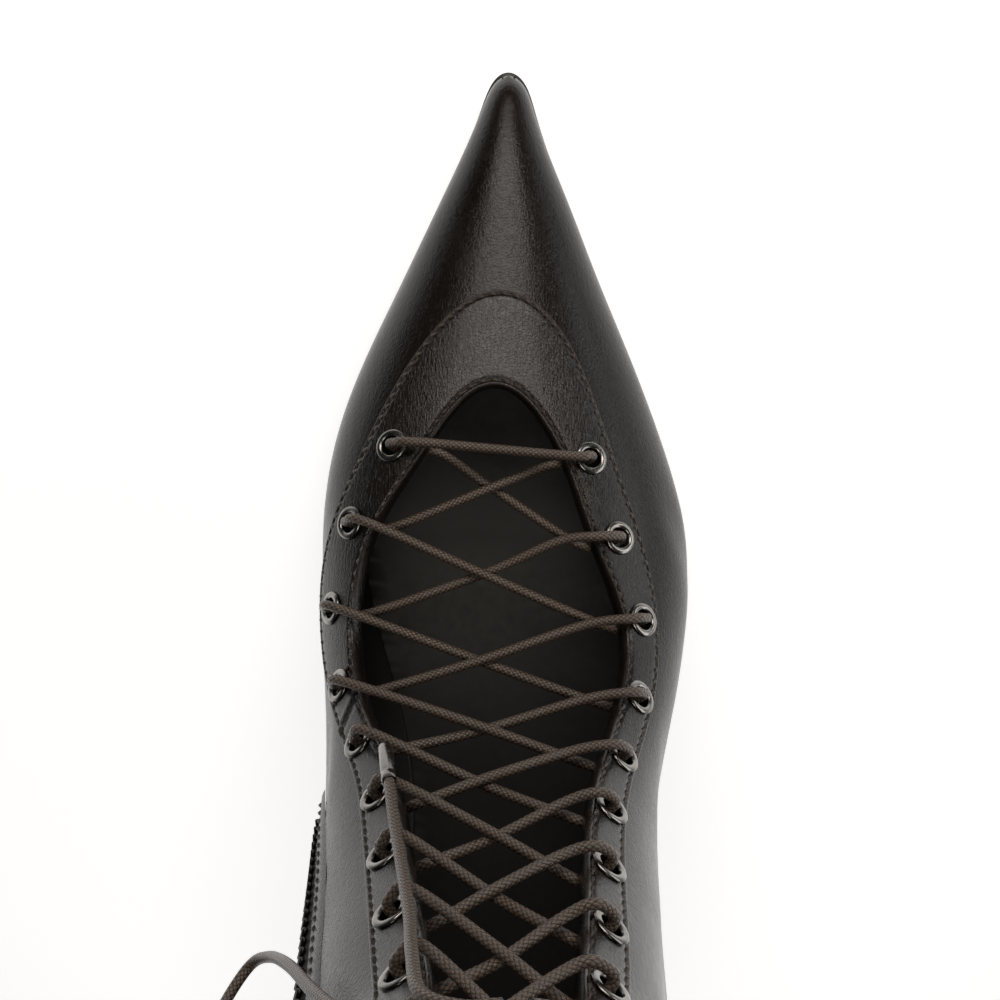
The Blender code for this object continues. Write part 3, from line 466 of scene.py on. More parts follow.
def tube_rings(path: Array, radius: float, sides: int) -> Array:
    """Return rings of points round a path, carried along it without twist.

    Args:
        path: Points of the middle line.
        radius: Radius of the rings.
        sides: Points in each ring.

    Returns:
        Rings of points.
    """
    ahead = unit(np.gradient(path, axis=0))
    turns = 2.0 * math.pi * np.arange(sides) / sides
    helper = (0.0, 0.0, 1.0) if abs(ahead[0][2]) < 0.9 else (0.0, 1.0, 0.0)
    across, rings = np.cross(ahead[0], helper), []
    for point, forward in zip(path, ahead):
        across = unit(across - forward * np.dot(across, forward))
        upward = np.cross(forward, across)
        rings.append(point + radius * (np.outer(np.cos(turns), across) + np.outer(np.sin(turns), upward)))
    return np.array(rings)


@dataclass
class Draft:
    """Mesh in the making: points in millimetres, faces with finish numbers, wear (which on the insole also
    carries a painted sheen) and texture places.
    """

    points: list[Array] = field(default_factory=list)
    faces: list[list[int]] = field(default_factory=list)
    finishes: list[int] = field(default_factory=list)
    wear: list[Array] = field(default_factory=list)
    corners: list[Array] = field(default_factory=list)
    count: int = 0

    def add(self, points: Array, faces: Array, finish: int = 0, wear: Array | float = 0.0,
            corners: Array | None = None) -> None:
        """Add points and faces.

        Args:
            points: Points, with x, y and z in the last axis.
            faces: Point numbers of each face.
            finish: Number of the faces' finish.
            wear: How worn the points are, from 0 for new, spread over their leading axes; on the insole's
                sheets it also carries a painted sheen.
            corners: Texture places of each face's corners.
        """
        points, faces, worn = np.asarray(points, float), np.asarray(faces), np.asarray(wear, float)
        flat = points.reshape(-1, 3)
        if worn.size != len(flat):
            worn = np.broadcast_to(worn, points.shape[:-1])
        self.points.append(flat)
        self.faces += (faces + self.count).tolist()
        self.finishes += [finish] * len(faces)
        self.wear.append(worn.reshape(-1))
        self.corners.append(np.zeros((faces.size, 2)) if corners is None else corners.reshape(-1, 2))
        self.count += len(flat)

    def add_caps(self, rings: Array, finish: int = 0) -> None:
        """Close a tube with a face at its first ring and at its last."""
        for ring, order in ((rings[0], -1), (rings[-1], 1)):
            self.add(ring, np.arange(len(ring))[None, ::order], finish)

    def add_tube(self, path: Array, radius: float, sides: int, finish: int = 0) -> None:
        """Add a round tube with closed ends, with its length in millimetres and its turn as texture places.

        Args:
            path: Points of the middle line.
            radius: Radius of the tube.
            sides: Points in each ring.
            finish: Number of the faces' finish.
        """
        rings = tube_rings(path, radius, sides)
        places = corner_places(arc_length(path), np.arange(sides + 1) / sides)
        self.add(rings, grid_faces(len(path), sides, wrap=True), finish, 0.0, places)
        self.add_caps(rings, finish)

    def build(self, name: str, finishes: Sequence["Finish"], sharp: float = 50.0) -> bpy.types.Object:
        """Make the object.

        Args:
            name: Name of the object.
            finishes: Finishes by number.
            sharp: Angle in degrees over which an edge stays sharp.

        Returns:
            The new object, in metres.
        """
        mesh = bpy.data.meshes.new(name)
        mesh.from_pydata((np.concatenate(self.points) * MM).tolist(), [], self.faces)
        worn = mesh.attributes.new(WEAR_LAYER, "FLOAT", "POINT")
        worn.data.foreach_set("value", np.concatenate(self.wear))
        layer = mesh.uv_layers.new(name=UV_LAYER)
        layer.data.foreach_set("uv", np.concatenate(self.corners).reshape(-1))
        for finish in finishes:
            mesh.materials.append(finish.material())
        mesh.polygons.foreach_set("material_index", self.finishes)
        work = bmesh.new()
        work.from_mesh(mesh)
        bmesh.ops.remove_doubles(work, verts=work.verts, dist=MERGE * MM)
        work.to_mesh(mesh)
        work.free()
        mesh.shade_smooth()
        mesh.set_sharp_from_angle(angle=math.radians(sharp))
        item = bpy.data.objects.new(name, mesh)
        bpy.context.scene.collection.objects.link(item)
        return item

    def place(self, name: str, finishes: Sequence["Finish"], slot: Slot, nodes: Sequence[str] = (),
              body: str = BOOT_BODY, sharp: float = 50.0) -> bpy.types.Object:
        """Make a piece that rides on a body and stands for CAD nodes.

        Args:
            name: Name of the piece.
            finishes: Finishes by number.
            slot: Material slot of the record; not used.
            nodes: CAD nodes that it stands for.
            body: CAD body that it rides on.
            sharp: Angle in degrees over which an edge stays sharp.

        Returns:
            The piece.
        """
        item = self.build(name, finishes, sharp)
        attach(item, body)
        if nodes:
            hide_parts(*nodes)
        LOG.info("%s: %d faces on %s", name, len(item.data.polygons), body)
        return item


class Wires:
    """Node tree of a material, a world or a group, with short ways to add nodes."""

    def __init__(self, tree: bpy.types.NodeTree) -> None:
        """Take the tree that gets the nodes."""
        self.tree = tree

    def add(self, kind: str, inputs: dict[str | int, object] | None = None,
            **settings: object) -> bpy.types.Node:
        """Add a shader node.

        Args:
            kind: Type name of the node, after ShaderNode.
            inputs: Values, or sockets to link, by input name or number.
            **settings: Properties of the node.

        Returns:
            The node.
        """
        made = self.tree.nodes.new(f"ShaderNode{kind}")
        for name, value in settings.items():
            setattr(made, name, value)
        self.feed(made, inputs or {})
        return made

    def feed(self, node: bpy.types.Node, inputs: dict[str | int, object]) -> None:
        """Set inputs of a node, or link sockets to them.

        Args:
            node: The node.
            inputs: Values or sockets by input name or number.
        """
        for key, value in inputs.items():
            if isinstance(value, bpy.types.NodeSocket):
                self.tree.links.new(value, node.inputs[key])
            else:
                node.inputs[key].default_value = value

    def spot(self) -> Socket:
        """Return the place on the object, in metres."""
        return self.add("TexCoord").outputs["Object"]

    def noise(self, spot: Socket, scale: float, detail: float, distortion: float = 0.0) -> Socket:
        """Return noise at a place, from 0 to 1."""
        inputs = {"Vector": spot, "Scale": scale, "Detail": detail, "Distortion": distortion}
        return self.add("TexNoise", inputs).outputs[0]

    def math(self, operation: str, *values: object) -> Socket:
        """Return the output of a Math node over values or sockets."""
        return self.add("Math", dict(enumerate(values)), operation=operation).outputs[0]

    def mix(self, share: Socket, first: Colour | Socket, second: Colour) -> Socket:
        """Return a mix of two colours, the second by its share."""
        start = first if isinstance(first, bpy.types.NodeSocket) else (*first, 1.0)
        return self.add("Mix", {0: share, 6: start, 7: (*second, 1.0)}, data_type="RGBA").outputs[2]


class Effect(Enum):
    """Surface effects that several materials share as node groups."""

    GRAIN = "leather_grain"
    # Rubbed wear, and on the insole a painted sheen
    WEAR = "edge_wear"
    BRAID = "braided_yarn"


class Effects:
    """Maker of the shared node groups."""

    @classmethod
    def use(cls, wires: Wires, effect: Effect, **inputs: float) -> bpy.types.bpy_prop_collection:
        """Add a group node of an effect to a material.

        Args:
            wires: The material's tree.
            effect: Which effect.
            **inputs: Values of the group's inputs.

        Returns:
            The group node's outputs.
        """
        group = bpy.data.node_groups.get(effect.value)
        if group is None:
            makers = {Effect.GRAIN: cls._grain, Effect.WEAR: cls._wear, Effect.BRAID: cls._braid}
            group = makers[effect]()
        return wires.add("Group", inputs, node_tree=group).outputs

    @staticmethod
    def _start(effect: Effect, inputs: dict[str, float]) -> tuple[Wires, bpy.types.bpy_prop_collection]:
        """Make an empty group.

        Args:
            effect: Which effect.
            inputs: Default values by input name.

        Returns:
            The group's wires and its input sockets.
        """
        group = bpy.data.node_groups.new(effect.value, "ShaderNodeTree")
        for name, value in inputs.items():
            socket = group.interface.new_socket(name, in_out="INPUT", socket_type="NodeSocketFloat")
            socket.default_value = value
        return Wires(group), group.nodes.new("NodeGroupInput").outputs

    @staticmethod
    def _end(wires: Wires, results: dict[str, Socket]) -> bpy.types.NodeTree:
        """Link a group's results to its outputs.

        Args:
            wires: The group's wires.
            results: Sockets by output name.

        Returns:
            The group.
        """
        for name in results:
            wires.tree.interface.new_socket(name, in_out="OUTPUT", socket_type="NodeSocketFloat")
        wires.feed(wires.tree.nodes.new("NodeGroupOutput"), results)
        return wires.tree

    @classmethod
    def _grain(cls) -> bpy.types.NodeTree:
        """Make the grain of leather: pores, fine wrinkles, crinkles and a slow change of tone.

        Returns:
            The group, with a height and a tone.
        """
        wires, entry = cls._start(Effect.GRAIN, {"Pores": 1500.0, "Wrinkles": 0.5, "Crinkle": 0.0})
        spot = wires.spot()
        pores = wires.add("TexVoronoi", {"Vector": spot, "Scale": entry["Pores"]}, feature="DISTANCE_TO_EDGE")
        pits = wires.add("MapRange", {0: pores.outputs["Distance"], 1: 0.0, 2: 0.22}).outputs[0]
        stretch = wires.add("Mapping", {"Vector": spot, "Scale": (1.0, 0.2, 0.32)}).outputs[0]
        folds = wires.math("MULTIPLY", wires.noise(stretch, 2500.0, 3.0, 0.9), entry["Wrinkles"])
        folds = wires.math("MULTIPLY_ADD", wires.noise(spot, 1050.0, 2.0, 0.6), entry["Crinkle"], folds)
        slow = wires.math("MULTIPLY", wires.noise(spot, 55.0, 2.0), 0.65)
        return cls._end(wires, {
            "Height": wires.math("MULTIPLY_ADD", pits, 0.16, folds),
            "Tone": wires.math("MULTIPLY_ADD", wires.noise(spot, 620.0, 2.0), 0.35, slow)})

    @classmethod
    def _wear(cls) -> bpy.types.NodeTree:
        """Make the mask of rubbed edges, broken up by noise; on the insole the same mask lays a painted
        sheen.

        Returns:
            The group, with a mask.
        """
        wires, entry = cls._start(Effect.WEAR, {"Least": 0.35})
        edge = wires.add("Attribute", attribute_name=WEAR_LAYER).outputs["Fac"]
        noise = wires.noise(wires.spot(), 380.0, 4.0)
        rubbed = wires.add("MapRange", {0: noise, 1: 0.3, 2: 0.65, 3: entry["Least"]}).outputs[0]
        return cls._end(wires, {"Mask": wires.math("MULTIPLY", edge, rubbed)})

    @classmethod
    def _braid(cls) -> bpy.types.NodeTree:
        """Make the crossing yarns of a braid, from places along and round it.

        Returns:
            The group, with a height, and a tone that is low in the hollows between the yarns, for painted
            shade there.
        """
        wires, entry = cls._start(Effect.BRAID, {"Repeat": 1.9, "Yarns": 5.0})
        spot = wires.add("UVMap", uv_map=UV_LAYER).outputs[0]
        places = wires.add("SeparateXYZ", {0: spot}).outputs
        along = wires.math("DIVIDE", places[0], entry["Repeat"])
        round_it = wires.math("MULTIPLY", places[1], entry["Yarns"])
        waves = []
        for operation in ("ADD", "SUBTRACT"):
            turn = wires.math("MULTIPLY", wires.math(operation, along, round_it), math.pi)
            waves.append(wires.math("ABSOLUTE", wires.math("SINE", turn)))
        height = wires.math("POWER", wires.math("MULTIPLY", *waves), 0.6)
        fuzz = wires.add("TexNoise", {"Scale": 900.0, "Detail": 3.0}).outputs[0]
        # The tone follows the height, so the hollows between the yarns get painted shade
        tone = wires.math("MULTIPLY", height, wires.math("MULTIPLY_ADD", fuzz, 0.8, 0.4))
        return cls._end(wires, {"Height": height, "Tone": tone})


@dataclass(frozen=True)
class Finish:
    """Principled finish; its kinds add what changes over their surface."""

    name: str
    colour: Colour
    roughness: float
    metallic: float = 0.0
    specular: float = 0.5
    coat: float = 0.0
    coat_roughness: float = 0.25

    def material(self) -> bpy.types.Material:
        """Find the finish's material, or make it on first use.

        Returns:
            The material.
        """
        found = bpy.data.materials.get(self.name)
        if found is not None:
            return found
        made = bpy.data.materials.new(self.name)
        made.use_nodes = True
        wires = Wires(made.node_tree)
        plain = {"Base Color": (*self.colour, 1.0), "Roughness": self.roughness, "Metallic": self.metallic,
                 "Specular IOR Level": self.specular, "Coat Weight": self.coat,
                 "Coat Roughness": self.coat_roughness}
        wires.feed(made.node_tree.nodes["Principled BSDF"], plain | self.varied(wires))
        return made

    def varied(self, wires: Wires) -> dict[str, object]:
        """Return the shader's inputs that change over the surface; each kind of finish has its own."""
        raise NotImplementedError

    def relief(self, wires: Wires, height: Socket, tone: Socket, depth: float,
               spread: float) -> dict[str, object]:
        """Return a normal bent by a height, and a roughness that moves with a tone.

        Args:
            wires: The material's tree.
            height: Relief of the surface.
            tone: Slow change over the surface.
            depth: Depth of the relief in millimetres.
            spread: How far the roughness moves either way.

        Returns:
            Sockets by the shader's input.
        """
        bump = wires.add("Bump", {"Strength": 1.0, "Distance": depth * MM, "Height": height})
        rough = wires.add("MapRange", {0: tone, 1: 0.25, 2: 0.75, 3: self.roughness - spread,
                                       4: self.roughness + spread})
        return {"Normal": bump.outputs[0], "Roughness": rough.outputs[0]}


@dataclass(frozen=True)
class Leather(Finish):
    """Smooth finished leather with pores, wrinkles, rubbed edges and, on the insole, a painted sheen."""

    deep: Colour = (0.009, 0.007, 0.006)
    # Colour under the wear mask: rubbed edges; on the insole it paints a sheen
    rubbed: Colour = (0.060, 0.047, 0.038)
    pores: float = 1500.0
    wrinkles: float = 0.5
    crinkle: float = 0.0
    depth: float = 0.05
    least_wear: float = 0.35
    gloss_spread: float = 0.07

    def varied(self, wires: Wires) -> dict[str, object]:
        """Mix the tones of the hide, lay on the rubbed colour by the wear mask, which on the insole is a
        painted sheen, and bend the normal by its grain.

        Args:
            wires: The material's tree.

        Returns:
            Sockets by the shader's input.
        """
        grain = Effects.use(wires, Effect.GRAIN, Pores=self.pores, Wrinkles=self.wrinkles,
                            Crinkle=self.crinkle)
        mask = Effects.use(wires, Effect.WEAR, Least=self.least_wear)["Mask"]
        hide = wires.mix(grain["Tone"], self.deep, self.colour)
        return {"Base Color": wires.mix(mask, hide, self.rubbed),
                **self.relief(wires, grain["Height"], grain["Tone"], self.depth, self.gloss_spread)}


@dataclass(frozen=True)
class Yarn(Finish):
    """Braided or woven yarn with painted shade in the hollows between its strands, which leaves their tops
    lighter.
    """

    # Colour of the painted shade in the hollows between the yarns
    hollow: Colour = (0.008, 0.006, 0.005)
    repeat: float = 1.9
    yarns: float = 5.0
    depth: float = 0.16
    gloss_spread: float = 0.08

    def varied(self, wires: Wires) -> dict[str, object]:
        """Paint shade into the hollows between the yarns and bend the normal over them.

        Args:
            wires: The material's tree.

        Returns:
            Sockets by the shader's input.
        """
        braid = Effects.use(wires, Effect.BRAID, Repeat=self.repeat, Yarns=self.yarns)
        return {"Base Color": wires.mix(braid["Tone"], self.hollow, self.colour),
                **self.relief(wires, braid["Height"], braid["Tone"], self.depth, self.gloss_spread)}


@dataclass(frozen=True)
class Metal(Finish):
    """Plated metal with fine scratches and rubbed edges."""

    rubbed: Colour = (0.62, 0.60, 0.57)
    scratches: float = 1400.0
    depth: float = 0.008
    gloss_spread: float = 0.08

    def varied(self, wires: Wires) -> dict[str, object]:
        """Brighten the edges and spread the gloss by fine scratches.

        Args:
            wires: The material's tree.

        Returns:
            Sockets by the shader's input.
        """
        mask = Effects.use(wires, Effect.WEAR)["Mask"]
        scratch = wires.noise(wires.spot(), self.scratches, 5.0)
        return {"Base Color": wires.mix(mask, self.colour, self.rubbed),
                **self.relief(wires, scratch, scratch, self.depth, self.gloss_spread)}


@dataclass(frozen=True)
class Moulded(Finish):
    """Rubber or dyed edge with a fine even speckle."""

    dark: Colour = (0.006, 0.006, 0.006)
    speckle: float = 900.0
    depth: float = 0.03
    gloss_spread: float = 0.05

    def varied(self, wires: Wires) -> dict[str, object]:
        """Speckle the colour and roughen the surface.

        Args:
            wires: The material's tree.

        Returns:
            Sockets by the shader's input.
        """
        noise = wires.noise(wires.spot(), self.speckle, 4.0)
        return {"Base Color": wires.mix(noise, self.dark, self.colour),
                **self.relief(wires, noise, noise, self.depth, self.gloss_spread)}


@dataclass(frozen=True)
class LitTable(Finish):
    """Table top, lit from within, that is pale round its middle and darkens away from it."""

    dark: Colour = (0.02, 0.02, 0.02)
    glow: float = 0.73
    far_glow: float = 0.42
    near: float = 0.125
    far: float = 0.25
    fade_area: float = 1.2

    def varied(self, wires: Wires) -> dict[str, object]:
        """Let colour and glow fall off away from the middle.

        Args:
            wires: The material's tree.

        Returns:
            Values and sockets by the shader's input.
        """
        spot = wires.spot()
        square = wires.add("VectorMath", {0: spot, 1: spot}, operation="MULTIPLY").outputs[0]
        away = wires.add("VectorMath", {0: square}, operation="LENGTH").outputs["Value"]
        middle = wires.add("MapRange", {0: away, 1: self.near ** 2, 2: self.far ** 2, 3: 1.0, 4: 0.0},
                           interpolation_type="SMOOTHSTEP").outputs[0]
        glow = wires.math("MULTIPLY_ADD", middle, self.glow - self.far_glow, self.far_glow)
        fade = wires.math("MULTIPLY_ADD", away, 1.0 / self.fade_area, 1.0)
        return {"Base Color": wires.mix(middle, self.dark, self.colour),
                "Emission Color": (1.0, 1.0, 1.0, 1.0),
                "Emission Strength": wires.math("DIVIDE", glow, fade)}


TABLE = LitTable("pale_table", (0.6, 0.6, 0.6), 0.9, specular=0.0)
HIDE = Leather("smooth_hide", (0.0098, 0.0064, 0.0044), 0.25, specular=0.3, coat=0.05, coat_roughness=0.14,
               deep=(0.0046, 0.0030, 0.0021), rubbed=(0.030, 0.022, 0.017), wrinkles=0.3, crinkle=0.6,
               depth=0.13)
FACING_HIDE = Leather("facing_hide", (0.0100, 0.0067, 0.0047), 0.25, specular=0.42, coat=0.08,
                      coat_roughness=0.16, deep=(0.0050, 0.0034, 0.0025), rubbed=(0.040, 0.030, 0.023),
                      wrinkles=0.95, crinkle=0.25, depth=0.13)
LINING = Leather("black_lining", (0.0060, 0.0056, 0.0052), 0.6, deep=(0.0035, 0.0033, 0.0031), wrinkles=0.2,
                 specular=0.35)
# On the insole the rubbed colour is painted sheen, a lighter patch on the forefoot, and a little wear along
# its edges
SOCK = Leather("insole_sock", (0.0052, 0.0048, 0.0044), 0.7, deep=(0.0036, 0.0034, 0.0031), specular=0.15,
               rubbed=(0.068, 0.067, 0.063), wrinkles=0.25, least_wear=0.8)
SOLE_EDGE = Moulded("dyed_sole_edge", (0.014, 0.012, 0.011), 0.42)
TREAD = Moulded("sole_underside", (0.030, 0.028, 0.026), 0.6, dark=(0.012, 0.011, 0.010), speckle=500.0)
RUBBER = Moulded("lift_rubber", (0.020, 0.020, 0.020), 0.7)
# The yarns' hollow colours are painted shade between their strands
CORD = Yarn("braided_lace", (0.170, 0.126, 0.096), 0.34, hollow=(0.018, 0.013, 0.010), repeat=1.15,
            yarns=6.0, depth=0.11)
THREAD = Yarn("sewing_thread", (0.085, 0.063, 0.048), 0.4, hollow=(0.028, 0.021, 0.016), repeat=0.5,
              yarns=2.0, depth=0.03)
ZIP_CLOTH = Yarn("zip_cloth", (0.016, 0.014, 0.013), 0.75, repeat=0.6, yarns=14.0, depth=0.05)
NICKEL = Metal("dark_nickel_plate", (0.13, 0.124, 0.116), 0.24, metallic=1.0, rubbed=(0.34, 0.327, 0.309))
STEEL = Metal("bright_steel", (0.22, 0.21, 0.20), 0.24, metallic=1.0, rubbed=(0.5, 0.49, 0.48))
TEETH = Metal("zip_teeth_metal", (0.035, 0.033, 0.031), 0.42, metallic=1.0, rubbed=(0.09, 0.086, 0.08))


@dataclass(frozen=True)
class Crease:
    """Soft trough with low shoulders, pressed into the leather between two points."""

    start: Point
    end: Point
    depth: float
    width: float
    end_share: float = 0.06
    end_power: float = 0.7

    def sink(self, points: Array) -> Array:
        """Return how far the leather lies below its smooth form.

        Args:
            points: Points of the smooth form.

        Returns:
            Depths, with the points' leading axes.
        """
        start = np.array(self.start)
        run = np.array(self.end) - start
        share = np.clip((points - start) @ run / (run @ run), 0.0, 1.0)
        away = np.linalg.norm(points - start - share[..., None] * run, axis=-1) / self.width
        inner = self.end_share + (1.0 - 2.0 * self.end_share) * share
        fade = np.sin(math.pi * inner) ** self.end_power
        return self.depth * fade * (1.0 - away ** 2 * 0.5) * np.exp(-away ** 2 / 2.0)


# Main folds: soft verticals on the lateral shaft, and the bend of the instep on both sides
CREASES = (
    Crease((-33.5, 52.0, 88.0), (-30.0, 68.0, 158.0), 0.7, 3.6),
    Crease((-34.0, 66.0, 84.0), (-31.0, 80.0, 150.0), 0.6, 4.2),
    Crease((-38.0, 38.0, 47.0), (-34.0, 74.0, 66.0), 0.5, 4.0),
    Crease((38.5, 34.0, 44.0), (37.0, 62.0, 66.0), 0.6, 3.6),
    Crease((37.5, 52.0, 84.0), (35.5, 82.0, 72.0), 0.5, 4.0),
    Crease((34.5, 100.0, 96.0), (28.0, 128.0, 108.0), 0.5, 5.0),
    Crease((-30.5, 98.0, 98.0), (-25.0, 128.0, 112.0), 0.5, 5.0),
    Crease((36.5, -8.0, 28.0), (39.0, 14.0, 22.0), 0.35, 4.0),
    Crease((-38.0, -10.0, 28.0), (-41.0, 12.0, 22.0), 0.35, 4.0),
)


@dataclass
class Eyelet:
    """Place of one eyelet: its point on the upper, outward normal, and way to the throat's edge."""

    point: Array
    normal: Array
    inward: Array
    reach: float

    @classmethod
    def on(cls, last: Last, side: Side, s: float, share: float) -> "Eyelet":
        """Find an eyelet's place on the facing.

        Args:
            last: Form of the boot.
            side: Side of the boot.
            s: Place along the boot.
            share: Share of the facing's width, from the throat.

        Returns:
            The eyelet.
        """
        at = np.asarray(s, float)
        edge, stay = (last.share_at(at, side, last.half(half, at, side)) for half in (Half.THROAT, Half.STAY))
        q = edge + (stay - edge) * share
        point, normal = last.point(at, side, q), last.normal(at, side, q)
        inward = last.point(at, side, edge) - point
        inward = inward - normal * np.dot(inward, normal)
        return cls(point, normal, unit(inward), float(np.linalg.norm(inward)))

    def at(self, toward: float, height: float) -> Array:
        """Return the point a distance toward the throat and a height above the upper's outside."""
        return self.point + self.inward * toward + self.normal * height


@dataclass
class Facing:
    """Rows of eyelets up both sides of the throat, placed as in the CAD."""

    last: Last
    pairs: int = 11
    share: float = 0.48
    pitch: dict[Side, float] = field(default_factory=lambda: {Side.MEDIAL: 18.6, Side.LATERAL: 17.9})
    first_y: dict[Side, float] = field(default_factory=lambda: {Side.MEDIAL: -20.2, Side.LATERAL: -17.6})
    search: float = 0.15
    halvings: int = 30

    def row(self, side: Side) -> list[Eyelet]:
        """Return the eyelets of one side from the toe up, at an even pitch.

        Args:
            side: Side of the boot.

        Returns:
            The eyelets.
        """
        s = self._solve(side, self.last.throat_front + 0.001, self.last.ball,
                        lambda eyelet: eyelet.point[1] - self.first_y[side])
        eyelets = [Eyelet.on(self.last, side, s, self.share)]
        while len(eyelets) < self.pairs:
            before = eyelets[-1].point
            s = self._solve(side, s, min(s + self.search, 1.0),
                            lambda eyelet: np.linalg.norm(eyelet.point - before) - self.pitch[side])
            eyelets.append(Eyelet.on(self.last, side, s, self.share))
        return eyelets

    def _solve(self, side: Side, low: float, high: float, miss: Callable[[Eyelet], float]) -> float:
        """Return where a rising miss of the eyelet passes zero.

        Args:
            side: Side of the boot.
            low: Lowest place along the boot.
            high: Highest place along the boot.
            miss: Function of an eyelet that rises along the boot.

        Returns:
            Place along the boot.
        """
        for _ in range(self.halvings):
            middle = (low + high) / 2.0
            short = miss(Eyelet.on(self.last, side, middle, self.share)) < 0.0
            low, high = (middle, high) if short else (low, middle)
        return middle


def punch(points: Array, faces: Array, eyelets: Sequence[Eyelet], radius: float = 3.0,
          reach: float = 6.0) -> tuple[Array, Array]:
    """Open round holes at the eyelets: drop the faces inside and move the rim onto the circle.

    Args:
        points: Points of a surface.
        faces: Its quads.
        eyelets: Places of the holes.
        radius: Radius of the holes.
        reach: How far above and below an eyelet's point its hole goes.

    Returns:
        Moved points and kept faces.
    """
    moved = points.reshape(-1, 3).copy()
    inside = np.zeros(len(moved), bool)
    for eyelet in eyelets:
        apart = moved - eyelet.point
        height = apart @ eyelet.normal
        flat = apart - np.outer(height, eyelet.normal)
        far = np.linalg.norm(flat, axis=1)
        near = (far < radius) & (np.abs(height) < reach)
        moved[near] += (unit(flat) * (radius - far)[:, None])[near]
        inside |= near
    return moved, faces[~inside[faces].all(axis=1)]


@dataclass
class Upper:
    """Hollow leather upper with its lining, from the feather line to throat and collar."""

    last: Last
    eyelets: Sequence[Eyelet]
    columns: int = 54
    edge_crowding: float = 1.35
    rim_steps: int = 8
    back_seam: float = 0.35
    back_seam_width: float = 0.8
    toe_rub_y: float = -88.0
    toe_rub_run: float = 14.0
    toe_rub: float = 0.45
    collar_rub: float = 0.35

    def rows(self) -> Array:
        """Spread the surface's rows, closer together at the toe and the throat.

        Returns:
            Places along the boot.
        """
        last = self.last
        return np.concatenate([
            crowd(0.0, last.stay_front, 36, 1.6), crowd(last.stay_front, last.throat_front, 16),
            crowd(last.throat_front, last.ball, 34, 1.8), crowd(last.ball, last.heel, 120),
            crowd(last.heel, 1.0, 64), [1.0]])

    def surface(self, side: Side) -> tuple[Array, Array]:
        """Return the creased outside of one side.

        Args:
            side: Side of the boot.

        Returns:
            Points and outward normals, row after row.
        """
        s = self.rows()[:, None]
        edge = self.last.share_at(s, side, self.last.half(Half.THROAT, s, side))
        spread = 1.0 - (1.0 - np.linspace(0.0, 1.0, self.columns + 1)) ** self.edge_crowding
        q = edge + (1.0 - edge) * spread
        points, normals = self.last.point(s, side, q), self.last.normal(s, side, q)
        off_middle = (points[..., 0] - self.last.curves["axis_x"](s)) / self.back_seam_width
        sink = sum(crease.sink(points) for crease in CREASES)
        sink = sink + self.back_seam * np.exp(-off_middle ** 2) * (s > self.last.heel)
        return points - normals * sink[..., None], normals

    def build(self) -> None:
        """Make the outside, the lining and the rounded collar."""
        draft = Draft()
        for side in Side:
            outer, normals = self.surface(side)
            inner = outer - normals * WALL
            flip = side is Side.LATERAL
            faces = grid_faces(*outer.shape[:2], flip=flip)
            toe = np.clip((self.toe_rub_y - outer[..., 1]) / self.toe_rub_run, 0.0, 1.0) * self.toe_rub
            draft.add(*punch(outer, faces, self.eyelets), 0, toe)
            draft.add(*punch(inner, faces[:, ::-1], self.eyelets), 1)
            rim = self.collar(outer[-1], inner[-1], unit(outer[-1] - outer[-3]))
            draft.add(rim, grid_faces(*rim.shape[:2], flip=flip), 0, self.collar_rub)
        draft.place("upper_leather", (HIDE, LINING), Slot.LEATHER, ["upper"], sharp=SOFT_ANGLE)

    def collar(self, outer: Array, inner: Array, up: Array) -> Array:
        """Return the half-round edge between outside and lining along the collar.

        Args:
            outer: Top row of the outside.
            inner: Top row of the lining.
            up: Unit vectors along the wall.

        Returns:
            Rows of points from outside to lining.
        """
        middle, half = (outer + inner) / 2.0, (outer - inner) / 2.0
        turns = np.linspace(0.0, math.pi, self.rim_steps + 1)
        return np.array([middle + half * math.cos(t) + up * math.sin(t) * WALL / 2.0 for t in turns])


